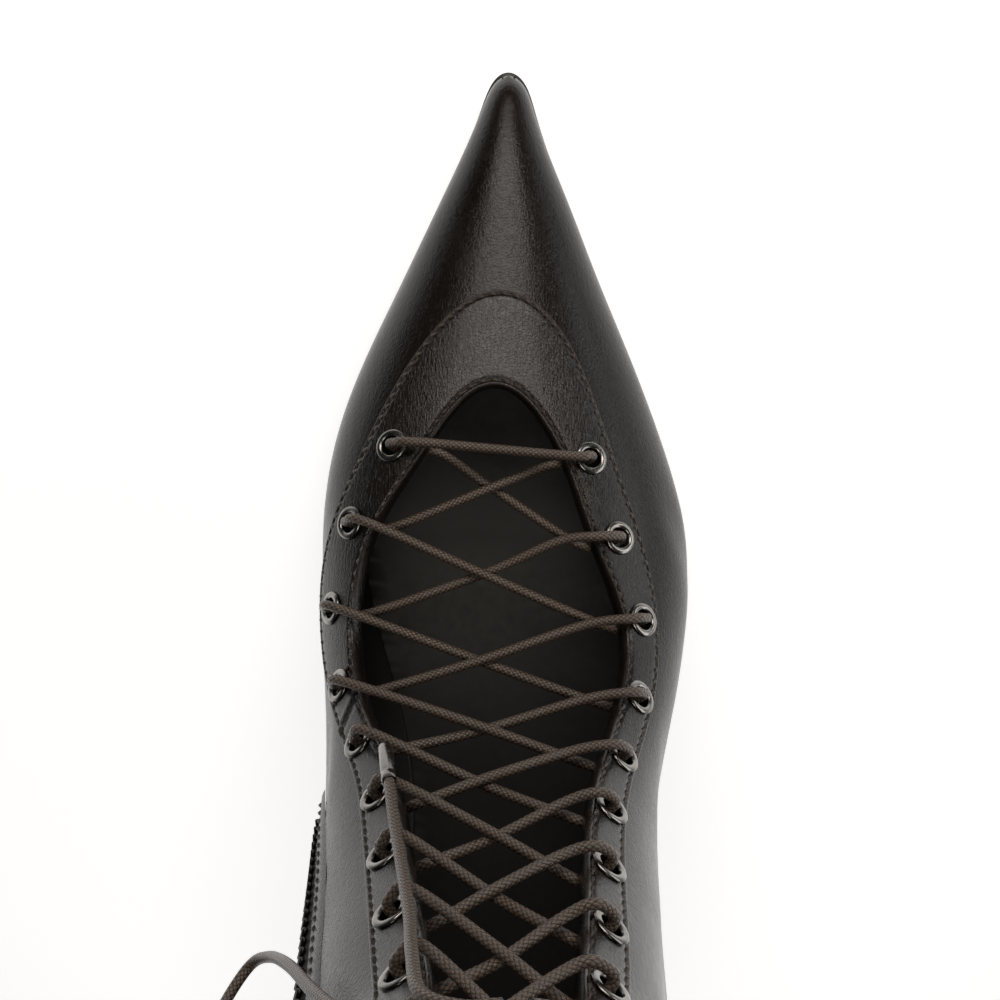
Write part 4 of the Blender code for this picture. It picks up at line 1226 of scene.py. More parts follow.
@dataclass
class Eyestay:
    """Facing that lies on the upper all round the throat and is folded over its edge."""

    last: Last
    eyelets: Sequence[Eyelet]
    lift: float = 0.05
    top: float = 1.3
    edge_radius: float = 0.55
    fold: float = 0.55
    fold_low: float = -1.9
    fan: float = 17.0
    rib_step: float = 0.9
    near_steps: tuple[float, ...] = (0.0, 0.2, 0.42, 0.64, 0.85, 1.06, 1.3, 1.7, 2.4)
    far_steps: tuple[float, ...] = (2.4, 1.7, 1.3, 1.06, 0.85, 0.64, 0.45, 0.28, 0.14, 0.05, 0.0)
    edge_rub: float = 0.9
    fold_rub: float = 0.6
    seam_inset: float = 0.85
    seam_sink: float = 0.42
    seam_width: float = 0.34
    joint_at: float = 86.0
    joint_slant: float = -3.5
    joint_depth: float = 0.5
    joint_ridge: float = 0.2
    joint_seam: float = 1.7
    middle_column: int = 8

    def edge(self, half: Half, side: Side) -> tuple[Array, Array]:
        """Return one edge of the facing from its front to the collar.

        Args:
            half: Throat or stay edge.
            side: Side of the boot.

        Returns:
            Places along the boot, and the distances along the edge there.
        """
        front = self.last.throat_front if half is Half.THROAT else self.last.stay_front
        s = front + (1.0 - front) * np.linspace(0.0, 1.0, 500) ** 2
        q = self.last.share_at(s, side, self.last.half(half, s, side))
        return s, arc_length(self.last.point(s, side, q))

    def ribs(self, side: Side) -> tuple[Array, Array]:
        """Return the throat and stay ends of ribs that fan out round the front.

        Args:
            side: Side of the boot.

        Returns:
            Places along the boot of the ribs' throat ends and stay ends.
        """
        throat_s, throat_run = self.edge(Half.THROAT, side)
        stay_s, stay_run = self.edge(Half.STAY, side)
        run = np.linspace(0.0, throat_run[-1], round(throat_run[-1] / self.rib_step))
        ease = 1.0 - np.exp(-run / self.fan)
        stay = run + (stay_run[-1] - throat_run[-1]) * ease / ease[-1]
        return np.interp(run, throat_run, throat_s), np.interp(stay, stay_run, stay_s)

    def spot(self, side: Side, ribs: tuple[Array, Array], v: Array) -> tuple[Array, Array]:
        """Return points and normals of the upper under the facing.

        Args:
            side: Side of the boot.
            ribs: Ends of the ribs.
            v: Shares of the ribs, 0 at the throat and 1 at the outer edge.

        Returns:
            Points and normals.
        """
        throat, stay = ribs[0][:, None], ribs[1][:, None]
        s = throat + (stay - throat) * v
        near, far = self.last.half(Half.THROAT, throat, side), self.last.half(Half.STAY, stay, side)
        q = self.last.share_at(s, side, near + (far - near) * v)
        return self.last.point(s, side, q), self.last.normal(s, side, q)

    def widths(self, side: Side, ribs: tuple[Array, Array]) -> Array:
        """Return the ribs' widths, one in each row."""
        ends, _ = self.spot(side, ribs, np.array([0.0, 1.0]))
        return np.linalg.norm(ends[:, 1] - ends[:, 0], axis=1)[:, None]

    def height(self, from_throat: Array, from_edge: Array) -> Array:
        """Return the facing's height over the upper: a round outer edge and a sunk seam by each edge.

        Args:
            from_throat: Distances from the throat's edge.
            from_edge: Distances from the outer edge.

        Returns:
            Heights above the upper's outside.
        """
        bare = np.clip(self.edge_radius - from_edge, 0.0, self.edge_radius)
        drop = self.edge_radius - np.sqrt(self.edge_radius ** 2 - bare ** 2)
        seams = sum(np.exp(-((d - self.seam_inset) / self.seam_width) ** 2) for d in (from_throat, from_edge))
        return self.top - drop - self.seam_sink * seams

    def strip(self, side: Side) -> tuple[Array, Array]:
        """Return the facing of one side, from its fold inside the throat to its outer edge.

        Args:
            side: Side of the boot.

        Returns:
            Points row after row from the front up, and how worn they are.
        """
        ribs = self.ribs(side)
        width = self.widths(side, ribs)
        near, far = np.array(self.near_steps), np.array(self.far_steps)
        middle = near[-1] + (width - (near[-1] + far[0])) * np.linspace(0.0, 1.0, 9)[1:-1]
        v = np.concatenate([near / width, middle / width, 1.0 - far / width], 1)
        points, normals = self.spot(side, ribs, v)
        from_edge = (1.0 - v) * width
        high = self.height(v * width, from_edge) - self.joint_dip(points, side)
        top = points + normals * high[..., None]
        worn = np.exp(-(from_edge / 0.5) ** 2) * self.edge_rub
        inward = unit(points[:, 0] - points[:, 2])
        turns = np.linspace(-math.pi / 2.0, math.pi / 2.0, 9)[:-1]
        middle_high, half_high = (self.top + self.fold_low) / 2.0, (self.top - self.fold_low) / 2.0
        roll = [points[:, 0] + inward * self.fold * math.cos(t)
                + normals[:, 0] * (middle_high + half_high * math.sin(t)) for t in turns]
        tuck = points[:, 4] + normals[:, 4] * (self.fold_low + 0.25)
        foot = points[:, -1] + normals[:, -1] * self.lift
        rows = np.concatenate([tuck[:, None], np.stack(roll, 1), top, foot[:, None]], 1)
        folded = np.concatenate([[0.0], np.maximum(np.sin(turns), 0.0) ** 2 * self.fold_rub])
        wear = np.concatenate([np.broadcast_to(folded, (len(worn), len(folded))), worn, worn[:, -1:]], 1)
        return rows, wear

    def joint_dip(self, points: Array, side: Side) -> Array:
        """Return the groove of the slanted seam that joins the facing's front to its shaft part.

        Args:
            points: Points of the facing.
            side: Side of the boot.

        Returns:
            Depths; zero on the lateral side, where the photo shows none.
        """
        if side is Side.LATERAL:
            return np.zeros(points.shape[:-1])
        lead = np.linspace(-1.0, 1.0, points.shape[1]) * self.joint_slant
        along = arc_length(points[:, self.middle_column])[:, None] - self.joint_at + lead
        groove, ridge = np.exp(-(along / 0.6) ** 2), np.exp(-((along + self.joint_seam) / 0.9) ** 2)
        return self.joint_depth * groove - self.joint_ridge * ridge

    def build(self) -> None:
        """Make the facing in one U-shaped piece."""
        draft = Draft()
        for side in Side:
            rows, wear = self.strip(side)
            flip = side is Side.LATERAL
            draft.add(*punch(rows, grid_faces(*rows.shape[:2], flip=flip), self.eyelets), 0, wear)
            draft.add(rows[-1], np.arange(rows.shape[1])[None, ::-1 if flip else 1])
        draft.place("eyestay_leather", (FACING_HIDE,), Slot.LEATHER, ["eyestay"], sharp=SOFT_ANGLE)

    def seam_paths(self) -> list[Seam]:
        """Follow both edges and the joint.

        Returns:
            Stitch lines, as points and normals.
        """
        lines = []
        for from_edge in (False, True):
            medial, lateral = (self.seam_line(side, from_edge) for side in Side)
            lines.append(tuple(np.concatenate([a[::-1], b[1:]]) for a, b in zip(medial, lateral)))
        return [*lines, self.joint_line()]

    def seam_line(self, side: Side, from_edge: bool) -> Seam:
        """Return one side of a stitch line that follows an edge.

        Args:
            side: Side of the boot.
            from_edge: Follow the outer edge, not the throat.

        Returns:
            Points at the bottom of the sunk seam, and normals.
        """
        ribs = self.ribs(side)
        share = self.seam_inset / self.widths(side, ribs)
        points, normals = self.spot(side, ribs, 1.0 - share if from_edge else share)
        return (points + normals * (self.top - self.seam_sink))[:, 0], normals[:, 0]

    def joint_line(self) -> Seam:
        """Follow the slanted joint on the medial side.

        Returns:
            Stitch line, as points and normals.
        """
        v = np.linspace(0.12, 0.88, 24)[None, :]
        points, normals = self.spot(Side.MEDIAL, self.ribs(Side.MEDIAL), v)
        run = arc_length(points[:, self.middle_column])
        wanted = self.joint_at - self.joint_seam - (2.0 * v[0] - 1.0) * self.joint_slant
        cells = np.searchsorted(run, wanted), np.arange(len(wanted))
        return points[cells] + normals[cells] * (self.top - 0.02), normals[cells]


@dataclass
class Stitching:
    """Rows of lock stitches along seams."""

    pitch: float = 2.6
    length: float = 1.8
    radius: float = 0.33
    heights: tuple[float, ...] = (-0.35, 0.06, 0.36, 0.06, -0.35)

    def build(self, name: str, seams: Sequence[Seam]) -> None:
        """Make one piece of all the stitches.

        Args:
            name: Name of the piece.
            seams: Points and normals of each stitch line.
        """
        draft = Draft()
        rise = np.array(self.heights)[:, None]
        for seam in seams:
            run = arc_length(seam[0])
            count = int(run[-1] / self.pitch)
            for i in range(count):
                at = (i + 0.5) * run[-1] / count + np.linspace(-0.5, 0.5, len(rise)) * self.length
                line, up = (np.stack([np.interp(at, run, row) for row in part.T], 1) for part in seam)
                draft.add_tube(line + unit(up) * rise, self.radius, 6)
        draft.place(name, (THREAD,), Slot.LACE)


@dataclass
class EyeletRings:
    """Turned metal eyelets with a rolled flange and a clinched back."""

    rows: dict[Side, list[Eyelet]]
    sides: int = 28
    profile: tuple[tuple[float, float], ...] = (
        (2.1, -1.8), (2.1, 1.3), (2.16, 1.62), (2.35, 1.84), (2.65, 1.94), (3.0, 1.94), (3.35, 1.84),
        (3.58, 1.66), (3.62, 1.5), (3.45, 1.36), (2.5, 1.34), (2.5, -1.7), (2.95, -1.9), (2.9, -2.15),
        (2.3, -2.15),
    )
    rub_height: float = 1.9
    rub_spread: float = 0.2

    def build(self) -> None:
        """Make each eyelet as its own piece."""
        radius, height = np.array(self.profile).T
        wear = np.exp(-((height - self.rub_height) / self.rub_spread) ** 2)
        faces = grid_faces(self.sides + 1, len(radius), wrap=True)
        for side, row in self.rows.items():
            for number, eyelet in enumerate(row, 1):
                draft = Draft()
                draft.add(revolve(radius, height, eyelet.point, eyelet.normal, self.sides), faces, 0, wear)
                draft.place(f"eyelet_ring_{side.word}_{number}", (NICKEL,), Slot.METAL,
                            [f"eyelet_{side.word}_{number}"])


def revolve(radius: Array, height: Array, centre: Array, axis: Array, sides: int) -> Array:
    """Return the points of a profile turned about an axis, with the first row again at the end.

    Args:
        radius: Distances from the axis.
        height: Distances along the axis from the centre.
        centre: Point on the axis.
        axis: Unit vector.
        sides: Number of spokes.

    Returns:
        Rows of points, one for each spoke.
    """
    across = unit(np.cross(axis, (0.0, 0.0, 1.0) if abs(axis[2]) < 0.8 else (0.0, 1.0, 0.0)))
    upward = np.cross(axis, across)
    turns = 2.0 * math.pi * np.arange(sides + 1) / sides
    spokes = np.outer(np.cos(turns), across) + np.outer(np.sin(turns), upward)
    return centre + spokes[:, None, :] * radius[None, :, None] + axis * height[None, :, None]


class Way(Enum):
    """How the lace passes a facing's edge; its value is the sign of its height."""

    OVER = 1.0
    UNDER = -1.0


@dataclass
class Lacing:
    """One round lace through all the eyelets, crossing between the pairs, up to the knot."""

    rows: dict[Side, list[Eyelet]]
    radius: float = 1.0
    sides: int = 12
    step: float = 0.7
    clear: dict[Way, float] = field(default_factory=lambda: {Way.OVER: 3.7, Way.UNDER: 3.8})
    edge_clear: float = 1.5
    crossing_offset: float = 1.02
    slack: float = 1.5

    def route(self, eyelet: Eyelet, way: Way) -> list[Array]:
        """Return the lace's way out of an eyelet and past its own facing edge.

        Args:
            eyelet: The eyelet.
            way: Over the edge or under it.

        Returns:
            Points of the route.
        """
        clear = self.clear[way]
        steps = ((0.0, 0.15), (0.2, 2.4), (1.7, clear), (eyelet.reach + self.edge_clear, clear))
        return [eyelet.at(toward, way.value * height) for toward, height in steps]

    def crossing(self, k: int) -> dict[Side, list[Array]]:
        """Return the two strands between eyelet pairs k and k + 1, by the side that each starts on.

        Args:
            k: Number of the lower pair, from 0.

        Returns:
            Routes of the strands.
        """
        upper_from = Side.LATERAL if k % 2 == 0 else Side.MEDIAL
        ends = {}
        for start in Side:
            leave = self.route(self.rows[start][k], Way.UNDER if k == 0 else Way.OVER)
            ends[start] = leave, self.route(self.rows[start.other][k + 1], Way.UNDER)[::-1]
        centre, lift = self.meeting(*((leave[-1], arrive[0]) for leave, arrive in ends.values()))
        outward = self.rows[Side.MEDIAL][k].normal + self.rows[Side.LATERAL][k].normal
        lift = lift * math.copysign(self.crossing_offset, float(np.dot(lift, outward)))
        routes = {start: [*leave, centre + (lift if start is upper_from else -lift), *arrive]
                  for start, (leave, arrive) in ends.items()}
        if k > 0:
            near, far = (self.rows[Side.LATERAL][pair].point for pair in (k, k + 1))
            slack = routes[Side.LATERAL]
            bowed = (2.0 * slack[3] + slack[4]) / 3.0
            slack.insert(4, bowed - unit(far - near) * self.slack)
        return routes

    @staticmethod
    def meeting(first: tuple[Array, Array], second: tuple[Array, Array]) -> tuple[Array, Array]:
        """Return where two straight spans pass closest to each other.

        Args:
            first: Ends of one span.
            second: Ends of the other.

        Returns:
            The point midway between them there, and the unit vector square to both.
        """
        u, v, w = first[1] - first[0], second[1] - second[0], first[0] - second[0]
        uu, uv, vv = np.dot(u, u), np.dot(u, v), np.dot(v, v)
        low = uu * vv - uv * uv
        along_first = (uv * np.dot(v, w) - vv * np.dot(u, w)) / low
        along_second = (uu * np.dot(v, w) - uv * np.dot(u, w)) / low
        return (first[0] + u * along_first + second[0] + v * along_second) / 2.0, unit(np.cross(u, v))

    def strand(self, start: Side) -> list[Array]:
        """Return one half of the lace, from the bottom bar's eyelet on a side up to the knot.

        Args:
            start: Side of the first eyelet.

        Returns:
            Route of the strand.
        """
        route, side = [], start
        for k in range(len(self.rows[start]) - 1):
            route += self.crossing(k)[side]
            side = side.other
        return route + self.route(self.rows[side][-1], Way.OVER) + [np.array(KNOT_CENTRE)]

    def build(self) -> None:
        """Make the lace in one run, from the knot down one strand, across the bar and up the other."""
        out, back = (self.route(self.rows[side][0], Way.OVER) for side in Side)
        route = self.strand(Side.MEDIAL)[::-1] + out + back[::-1] + self.strand(Side.LATERAL)
        draft = Draft()
        draft.add_tube(smooth_path(route, self.step), self.radius, self.sides)
        crossings = [f"lace_cross_{k}" for k in range(1, len(self.rows[Side.MEDIAL]))]
        draft.place("lace_run", (CORD,), Slot.LACE, ["lace_bar_1", *crossings])


@dataclass
class Bow:
    """Knot, loops and ends of the lace, with metal aglets."""

    radius: float = 1.0
    sides: int = 12
    step: float = 1.0
    wrap_turns: float = 2.2
    wrap_pitch: float = 2.5
    wrap_size: tuple[float, float] = (2.1, 2.7)
    core_half: float = 4.4
    core_swell: float = 1.2
    aglet_sides: int = 20
    aglet_profile: tuple[tuple[float, float], ...] = (
        (1.02, 0.0), (1.25, 0.05), (1.38, 0.4), (1.38, 1.4), (1.24, 1.8), (1.24, 2.4), (1.36, 2.8),
        (1.33, 10.8), (1.1, 11.7), (0.6, 12.1), (0.02, 12.2),
    )
    tip_rub: float = 12.0
    tip_rub_spread: float = 0.8

    def build(self) -> None:
        self.knot()
        for side, route in ((Side.MEDIAL, LOOP_MEDIAL), (Side.LATERAL, LOOP_LATERAL)):
            self.cord(f"lace_loop_{side.word}", route, ())
        for side, route in ((Side.MEDIAL, END_MEDIAL), (Side.LATERAL, END_LATERAL)):
            self.cord(f"lace_end_{side.word}", route, (self.aglet(side, route),))

    def knot(self) -> None:
        """Make the wrap of lace that holds the bow, round the roots of its loops."""
        centre = np.array(KNOT_CENTRE)
        turns = np.linspace(-1.0, 1.0, 90) * self.wrap_turns * math.pi
        coil = np.stack([turns / (2.0 * math.pi) * self.wrap_pitch, -self.wrap_size[0] * np.sin(turns),
                         self.wrap_size[1] * np.cos(turns)], 1)
        draft = Draft()
        draft.add_tube(centre + coil, self.radius, self.sides)
        core = np.outer((-self.core_half, 0.0, self.core_half), (1.0, 0.0, 0.0))
        draft.add_tube(centre + core, self.radius * self.core_swell, self.sides)
        draft.place("lace_knot_wrap", (CORD,), Slot.LACE, ["lace_knot"])

    def cord(self, node: str, route: Sequence[Point],
             pieces: Sequence[bpy.types.Object]) -> None:
        """Args:
            node: CAD node that it stands for.
            route: Points of its route.
            pieces: Pieces that go with it; not used.
        """
        path = smooth_path(route, self.step)
        draft = Draft()
        draft.add_tube(path, self.radius, self.sides)
        item = draft.place(f"{node}_cord", (CORD,), Slot.LACE, [node])

    def aglet(self, side: Side, route: Sequence[Point]) -> bpy.types.Object:
        """Make the crimped metal tip of one end.

        Args:
            side: Side of the end.
            route: Points of the end's route.

        Returns:
            The aglet.
        """
        tip, before = np.array(route[-1]), np.array(route[-2])
        ahead = unit(tip - before)
        radius, height = np.array(self.aglet_profile).T
        points = revolve(radius, height, tip + ahead * GAP, ahead, self.aglet_sides)
        draft = Draft()
        wear = np.exp(-((height - self.tip_rub) / self.tip_rub_spread) ** 2)
        draft.add(points, grid_faces(*points.shape[:2]), 0, wear)
        return draft.place(f"aglet_tip_{side.word}", (STEEL,), Slot.METAL, [f"aglet_{side.word}"])


@dataclass
class Sole:
    """Outsole, insole, covered heel and top lift."""

    last: Last
    thick: float = 3.0
    welt: float = 1.0
    insole_thick: float = 2.0
    insole_inset: float = 1.2
    lift_height: float = 5.0
    lift_sink: float = 0.25
    toe_rows: int = 70
    rows: int = 220
    sheet_columns: int = 15
    edge_rub: float = 0.2
    heel_levels: int = 40
    heel_sides: int = 72
    heel_squareness: float = 2.5
    heel_rub: float = 0.5
    # Painted sheen on the sheets: a lighter patch round this y, of this spread and strength, sent through the
    # wear layer; only the insole's leather shows it
    tread_y: float = 0.0
    tread_spread: float = 33.0
    tread_wear: float = 1.2

    def __post_init__(self) -> None:
        """Work out the feather line and its height along the boot."""
        shares = [crowd(0.0, 0.3, self.toe_rows, 1.8), np.linspace(0.3, 1.0, self.rows - self.toe_rows)]
        s = self.last.heel * np.concatenate(shares)
        self.lines = {side: self.last.point(s, side, np.ones_like(s)) for side in Side}
        base = self.last.base(s)
        steps = (2.0 * base[0] - base[4], base, 2.0 * base[-1] - base[-4])
        self.profile = np.concatenate([np.atleast_2d(step) for step in steps])

    def height(self, y: Array) -> Array:
        """Return the feather line's height at plan positions y."""
        order = np.argsort(self.profile[:, 0])
        return np.interp(y, self.profile[order, 0], self.profile[order, 1])

    def outline(self, offset: float, drop: float) -> dict[Side, Array]:
        """Return both sides of the feather line, moved outward in plan and down.

        Args:
            offset: Distance outward in plan.
            drop: Distance down.

        Returns:
            Points of each side from toe to heel.
        """
        loop = np.concatenate([self.lines[Side.MEDIAL], self.lines[Side.LATERAL][-2:0:-1]])
        ahead = unit(np.roll(loop[:, :2], -1, axis=0) - np.roll(loop[:, :2], 1, axis=0))
        moved = loop[:, :2] + np.stack([ahead[:, 1], -ahead[:, 0]], 1) * offset
        points = np.column_stack([moved, self.height(moved[:, 1]) - drop])
        count = len(self.lines[Side.MEDIAL])
        lateral = np.concatenate([points[:1], points[:count - 2:-1]])
        return {Side.MEDIAL: points[:count], Side.LATERAL: lateral}

    def slab(self, edge: Sequence[tuple[float, float]], under: int = 0) -> Draft:
        """Return a closed slab whose edge follows a profile all round.

        Args:
            edge: Offset and drop of each step of the edge, from the top down.
            under: Number of the underside's finish.

        Returns:
            The slab.
        """
        draft = Draft()
        outlines = [self.outline(offset, drop) for offset, drop in edge]
        for side in Side:
            rows = np.stack([outline[side] for outline in outlines], 1)
            draft.add(rows, grid_faces(*rows.shape[:2], flip=side is Side.LATERAL), 0, self.edge_rub)
        share = np.linspace(0.0, 1.0, self.sheet_columns)[None, :, None]
        for outline, finish, flip in ((outlines[0], 0, False), (outlines[-1], under, True)):
            near, far = outline[Side.MEDIAL][:, None], outline[Side.LATERAL][:, None]
            sheet = near + (far - near) * share
            # Painted sheen: a lighter patch on each sheet, passed on as wear
            tread = np.exp(-((sheet[..., 1] - self.tread_y) / self.tread_spread) ** 2)
            draft.add(sheet, grid_faces(*sheet.shape[:2], flip=flip), finish, self.tread_wear * tread)
        return draft

    def build(self) -> None:
        """Make the four pieces."""
        low, welt = GAP + self.thick, self.welt
        edge = ((-1.6, 0.05), (0.6, 0.12), (0.9, 0.35), (welt, 0.8), (welt, low - 0.9), (0.85, low - 0.4),
                (0.5, low - 0.1), (-0.3, low))
        self.slab(edge, 1).place("outsole_edge", (SOLE_EDGE, TREAD), Slot.SOLE, ["outsole"])
        inset, thick = -self.insole_inset, -self.insole_thick
        edge = ((inset - 0.5, thick), (inset, thick + 0.4), (inset, 0.0))
        self.slab(edge).place("insole_sock", (SOCK,), Slot.LINING, ["insole"])
        self.heel()

    def heel(self) -> None:
        """Make the covered heel and its top lift."""
        level, *columns = np.array(HEEL_RINGS).T
        curves = [Spline(level, column) for column in columns]
        at = np.linspace(0.0, 1.0, self.heel_levels + 1) ** 1.3
        points = np.array([self.ring(u, *(float(curve(u)) for curve in curves)) for u in at])
        wear = np.exp(-((1.0 - at) / 0.03) ** 2)[:, None] * self.heel_rub
        draft = Draft()
        draft.add(points, grid_faces(*points.shape[:2], wrap=True, flip=True), 0, wear)
        draft.place("heel_cover", (HIDE,), Slot.HEEL, ["heel"])
        foot = points[-1]
        centre = foot.mean(0)
        steps = ((1.0, self.lift_height + self.lift_sink), (1.02, self.lift_height), (1.03, 0.6), (1.0, 0.1),
                 (0.96, 0.0), (0.02, 0.0))
        lift = [np.column_stack([(centre + (foot - centre) * scale)[:, :2], np.full(len(foot), z)])
                for scale, z in steps]
        draft = Draft()
        draft.add(lift, grid_faces(len(steps), self.heel_sides, wrap=True, flip=True))
        draft.place("heel_lift", (RUBBER,), Slot.LIFT, ["heel_top_lift"])

    def ring(self, level: float, front: float, back: float, half: float) -> Array:
        """Return one ring of the heel, between the sole's underside and the top lift.

        Args:
            level: Share of the way down.
            front: Foremost y.
            back: Rearmost y.
            half: Half width.

        Returns:
            Points round the ring.
        """
        turns = 2.0 * math.pi * np.arange(self.heel_sides) / self.heel_sides
        c, s, power = np.cos(turns), np.sin(turns), 2.0 / self.heel_squareness
        x = half * np.sign(c) * np.abs(c) ** power
        y = (front + back) / 2.0 + (back - front) / 2.0 * np.sign(s) * np.abs(s) ** power
        seat, foot = self.height(y) - GAP - self.thick + 0.1, self.lift_height + self.lift_sink
        return np.stack([x, y, seat + (foot - seat) * level], 1)


@dataclass
class Zip:
    """Zip up the medial side: cloth, teeth, folded leather edges, slider and pull tab."""

    last: Last
    foot: tuple[float, float] = (57.0, 53.0)
    head: tuple[float, float] = (92.0, 177.5)
    cloth_rows: int = 110
    cloth_columns: int = 9
    cloth_step: float = 1.2
    half_width: float = 3.2
    tooth_pitch: float = 1.35
    tooth_offset: float = 0.55
    tooth: Point = (2.6, 0.85, 0.95)
    tooth_height: float = 1.55
    welt_rows: int = 130
    welt_start: float = 2.2
    welt_reach: tuple[float, ...] = (0.0, 0.1, 0.35, 0.8, 1.4, 2.1, 2.5, 2.9, 3.6, 4.5, 5.2, 5.5)
    welt_rise: tuple[float, ...] = (0.1, 0.5, 0.78, 0.9, 0.86, 0.72, 0.66, 0.72, 0.7, 0.45, 0.16, 0.02)
    welt_seam: int = 6
    slider_drop: float = 12.0
    slider: Point = (7.0, 10.0, 2.4)
    arch_size: tuple[float, float] = (2.6, 2.7)
    arch_wire: float = 0.42
    pull: Point = (5.0, 24.0, 1.2)
    hinge_radius: float = 0.9

    def __post_init__(self) -> None:
        """Work out the zip's length in side view."""
        self.length = np.linalg.norm(np.array(self.head) - np.array(self.foot))

    def grid(self, along: Array, across: Array) -> tuple[Array, Array]:
        """Return points and normals of the medial wall beside the zip.

        Args:
            along: Shares from the zip's foot to its head.
            across: Distances to the back of its middle line.

        Returns:
            Points and normals, a row for each share.
        """
        foot, head = np.array(self.foot), np.array(self.head)
        way = unit(head - foot)
        square = np.array([way[1], -way[0]])
        seen = foot + (head - foot) * along[:, None, None] + square * across[None, :, None]
        s, q = self.last.side_place(seen[..., 0], seen[..., 1], Side.MEDIAL)
        return self.last.point(s, Side.MEDIAL, q), self.last.normal(s, Side.MEDIAL, q)

    def build(self) -> list[Seam]:
        """Make the zip's pieces.

        Returns:
            Stitch lines of the folded edges, as points and normals.
        """
        rows, columns = self.cloth_rows, self.cloth_columns
        across = np.linspace(-1.0, 1.0, columns)
        points, normals = self.grid(np.linspace(0.0, 1.0, rows), across * self.half_width)
        crown = 0.12 + 1.1 * np.cos(across / 2.0 * math.pi)
        places = corner_places(np.arange(rows) * self.cloth_step, np.arange(columns) / (columns - 1))
        draft = Draft()
        draft.add(points + normals * crown[:, None], grid_faces(rows, columns), 0, 0.0, places)
        self.teeth(draft)
        draft.place("zip_chain", (ZIP_CLOTH, TEETH), Slot.ZIP, ["zip_tape"])
        seams = self.welts()
        self.runner()
        return seams

    def teeth(self, draft: Draft) -> None:
        """Add the two rows of interlocked teeth.

        Args:
            draft: Mesh that gets the teeth.
        """
        count = int(self.length / self.tooth_pitch)
        along = (np.arange(count) + 0.5) / count
        points, normals = self.grid(along, np.array([-self.tooth_offset, self.tooth_offset]))
        ahead = unit(np.gradient(points[:, 0], axis=0))
        for i in range(count):
            centre, up = points[i, i % 2], normals[i, i % 2]
            axes = (unit(np.cross(ahead[i], up)), ahead[i], up)
            draft.add(*block(centre + up * self.tooth_height, axes, self.tooth, 0.2), 1, 0.5)

    def welts(self) -> list[Seam]:
        """Make the folded leather edges on both sides of the teeth.

        Returns:
            Stitch lines, as points and normals.
        """
        along = np.linspace(-0.012, 1.0, self.welt_rows)
        reach, rise = np.array(self.welt_reach), np.array(self.welt_rise)
        wear = np.exp(-((reach - 0.4) / 0.4) ** 2) * 0.7
        seams = []
        draft = Draft()
        for way in (-1.0, 1.0):
            points, normals = self.grid(along, way * (self.welt_start + reach))
            rows = points + normals * rise[None, :, None]
            draft.add(rows, grid_faces(*rows.shape[:2], flip=way < 0.0), 0, wear)
            seams.append((rows[:, self.welt_seam], normals[:, self.welt_seam]))
        draft.place("zip_edges", (HIDE,), Slot.LEATHER, sharp=SOFT_ANGLE)
        return seams

    def runner(self) -> None:
        """Make the slider, of two plates, a neck and an arch, and the pull tab that swings on it."""
        share = 1.0 - self.slider_drop / self.length
        points, normals = self.grid(np.array([share, share + 4.0 / self.length]), np.array([0.0]))
        point, normal = points[0, 0], normals[0, 0]
        up = points[1, 0] - point
        up = unit(up - normal * np.dot(up, normal))
        across = np.cross(up, normal)
        axes = (across, up, normal)
        width, tall, thick = self.slider
        lead = tall / 2.0 - 2.0
        draft = Draft()
        for height, shift, size, taper, wear in (
                (0.95, 0.0, (width, tall, 0.7), 0.8, 0.3), (thick - 0.5, 0.0, (width, tall, 1.0), 0.8, 0.4),
                (1.3, lead, (2.4, 3.6, 1.6), 1.0, 0.0)):
            draft.add(*block(point + normal * (GAP + height) + up * shift, axes, size, 0.3, taper), 0, wear)
        hinge = point + normal * (GAP + thick + GAP + self.hinge_radius) + up * lead
        turns = np.linspace(0.0, math.pi, 15)
        long, high = self.arch_size
        path = [hinge - normal * 1.4 + up * long * math.cos(t) + normal * high * math.sin(t) for t in turns]
        for shift in (-0.5, 0.0, 0.5):
            draft.add_tube(np.array(path) + across * shift, self.arch_wire, 8)
        draft.place("zip_slider_body", (NICKEL,), Slot.METAL, ["zip_slider"])
        self.tab(hinge, axes)

    def tab(self, hinge: Array, axes: tuple[Array, Array, Array]) -> None:
        """Make the pull tab: an eye round the slider's arch, a waisted shank and a rounded plate.

        Args:
            hinge: Point on the hinge's axis.
            axes: Unit vectors across the zip, up it and out of it.
        """
        across, up, normal = axes
        wide, tall, thick = self.pull
        steps = ((-0.9, 0.30), (-0.3, 0.44), (1.6, 0.44), (3.4, 0.30), (5.5, 0.28), (8.5, 0.42), (11.0, 0.5),
                 (20.5, 0.5), (22.3, 0.42), (tall - 0.9, 0.22))
        down, half = np.array(steps).T
        run = np.linspace(down[0], down[-1], 50)
        rim = np.array([(-1.0, -0.35), (-0.9, -0.5), (0.9, -0.5), (1.0, -0.35), (1.0, 0.35), (0.9, 0.5),
                        (-0.9, 0.5), (-1.0, 0.35)])
        points = np.array([
            hinge - up * d + np.outer(rim[:, 0] * w, across) + np.outer(rim[:, 1] * thick, normal)
            for d, w in zip(run, np.interp(run, down, half) * wide)])
        draft = Draft()
        draft.add(points, grid_faces(*points.shape[:2], wrap=True), 0, np.abs(rim[:, 0]) * 0.5)
        draft.add_caps(points)
        groove = hinge - up * (tall * 0.62) + normal * thick * 0.5
        draft.add(*block(groove, axes, (wide * 0.5, tall * 0.34, 0.16), 0.3), 0, 0.8)
        draft.place("zip_pull_tab", (NICKEL,), Slot.METAL, ["zip_pull"], PULL_BODY, sharp=35.0)


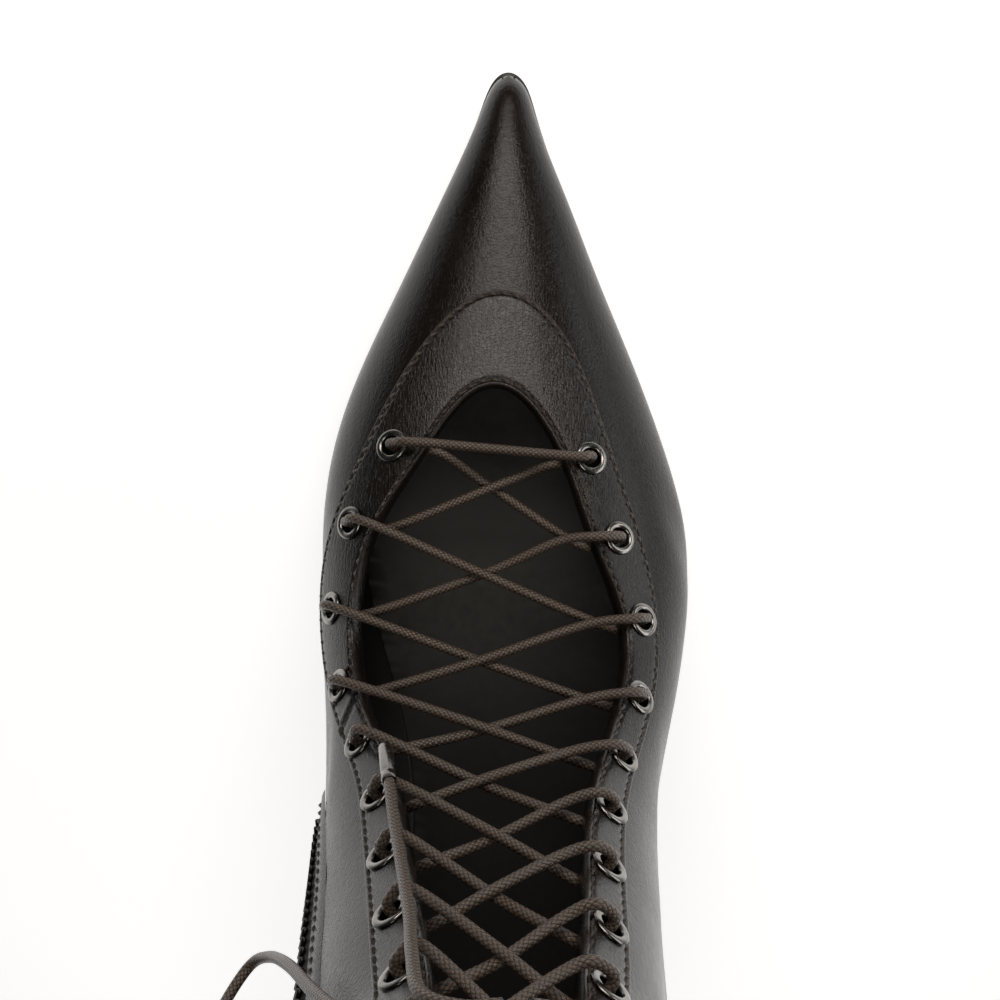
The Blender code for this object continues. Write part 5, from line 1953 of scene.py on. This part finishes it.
def block(centre: Array, axes: Sequence[Array], size: Sequence[float], corner: float,
          taper: float = 1.0) -> tuple[Array, list[list[int]]]:
    """Return a block with chamfered edges.

    Args:
        centre: Middle of the block.
        axes: Unit vectors along its width, length and thickness.
        size: Width, length and thickness.
        corner: Size of the chamfers.
        taper: Width at the far end, as a share.

    Returns:
        Points and quads.
    """
    wide, tall, thick = (extent / 2.0 for extent in size)
    corner = min(corner, 0.45 * min(size))
    rings = []
    for level, inset in ((-tall, corner), (-tall + corner, 0.0), (tall - corner, 0.0), (tall, corner)):
        scale = 1.0 + (taper - 1.0) * (level / tall + 1.0) / 2.0
        a, b = wide * scale - inset, thick - inset
        outline = ((-a + corner, -b), (a - corner, -b), (a, -b + corner), (a, b - corner),
                   (a - corner, b), (-a + corner, b), (-a, b - corner), (-a, -b + corner))
        rings.append([centre + axes[0] * x + axes[2] * z + axes[1] * level for x, z in outline])
    faces = grid_faces(4, 8, wrap=True).tolist()
    ends = np.array([[0, 1, 6, 7], [1, 2, 5, 6], [2, 3, 4, 5]])
    return np.array(rings), faces + ends[:, ::-1].tolist() + (ends + 24).tolist()


@dataclass(frozen=True)
class Softbox:
    """Soft area light that looks at a point."""

    name: str
    spot: Point
    aim: Point
    size: tuple[float, float]
    power: float
    colour: Colour = (1.0, 0.93, 0.86)

    def build(self) -> None:
        """Make the light."""
        data = bpy.data.lights.new(self.name, "AREA")
        data.shape, data.size, data.size_y = "RECTANGLE", self.size[0] * MM, self.size[1] * MM
        data.energy, data.color = self.power, self.colour
        item = bpy.data.objects.new(self.name, data)
        item.location = Vector(self.spot) * MM
        item.rotation_euler = (Vector(self.aim) - Vector(self.spot)).to_track_quat("-Z", "Y").to_euler()
        item.visible_camera = False
        bpy.context.scene.collection.objects.link(item)


@dataclass
class Studio:
    """Pale floor, soft light and the photo's camera, which looks down past the toe."""

    eye: Point = (0.0, -41.4, 345.2)
    tilt_deg: float = 6.0
    focal_pixels: float = 1452.0
    image_pixels: float = 1000.0
    floor_size: float = 6000.0
    floor_sides: int = 96
    floor_level: float = -0.2
    ambient: float = 0.02
    horizon: float = 0.06
    horizon_top: float = 0.5
    lights: tuple[Softbox, ...] = (
        Softbox("wall_right", (-1100.0, 110.0, 300.0), (0.0, 110.0, 90.0), (1640.0, 420.0), 4.9,
                (1.0, 0.98, 0.96)),
        Softbox("front_strip", (-30.0, -510.0, 565.0), (0.0, -60.0, 25.0), (700.0, 320.0), 3.1),
        Softbox("overhead", (0.0, 180.0, 1000.0), (0.0, 20.0, 0.0), (450.0, 350.0), 1.8),
    )

    def build(self) -> None:
        """Make camera, floor, lights and surroundings."""
        self.camera()
        self.floor()
        for light in self.lights:
            light.build()
        world = bpy.data.worlds.new("studio")
        world.use_nodes = True
        wires = Wires(world.node_tree)
        spot = wires.add("TexCoord").outputs["Generated"]
        level = wires.add("SeparateXYZ", {0: spot}).outputs["Z"]
        fall = wires.add("MapRange", {0: level, 1: 0.0, 2: self.horizon_top, 3: self.horizon,
                                      4: self.ambient})
        wires.feed(world.node_tree.nodes["Background"],
                   {"Color": (1.0, 1.0, 1.0, 1.0), "Strength": fall.outputs[0]})
        bpy.context.scene.world = world
        bpy.context.scene.view_settings.view_transform = "Standard"

    def camera(self) -> None:
        """Make the camera: it looks down, tilted a little to the heel, with the toe at the top."""
        data = bpy.data.cameras.new("photo_camera")
        data.sensor_fit, data.sensor_width = "HORIZONTAL", 36.0
        data.lens = self.focal_pixels / self.image_pixels * data.sensor_width
        data.clip_start = 0.01
        item = bpy.data.objects.new("photo_camera", data)
        item.location = Vector(self.eye) * MM
        item.rotation_euler = (math.radians(-self.tilt_deg), 0.0, math.pi)
        bpy.context.scene.collection.objects.link(item)
        bpy.context.scene.camera = item

    def floor(self) -> None:
        """Make the plain round floor, lit a little from within as a product table is."""
        turns = 2.0 * math.pi * np.arange(self.floor_sides) / self.floor_sides
        rim = np.stack([np.cos(turns), np.sin(turns)], 1) * self.floor_size / 2.0
        draft = Draft()
        draft.add(np.column_stack([rim, np.full(len(rim), self.floor_level)]), np.arange(len(rim))[None, :])
        draft.build("floor", (TABLE,))


def main() -> None:
    """Build the studio and the boot, piece by piece."""
    logging.basicConfig(level=logging.INFO, format="%(name)s: %(message)s")
    Studio().build()
    last = Last()
    facing = Facing(last)
    rows = {side: facing.row(side) for side in Side}
    eyelets = [eyelet for row in rows.values() for eyelet in row]
    Bow().build()
    Lacing(rows).build()
    EyeletRings(rows).build()
    Upper(last, eyelets).build()
    eyestay = Eyestay(last, eyelets)
    eyestay.build()
    Sole(last).build()
    seams = Zip(last).build()
    Stitching().build("facing_stitches", eyestay.seam_paths())
    Stitching(pitch=2.8).build("zip_stitches", seams)


if __name__ == "__main__":
    main()
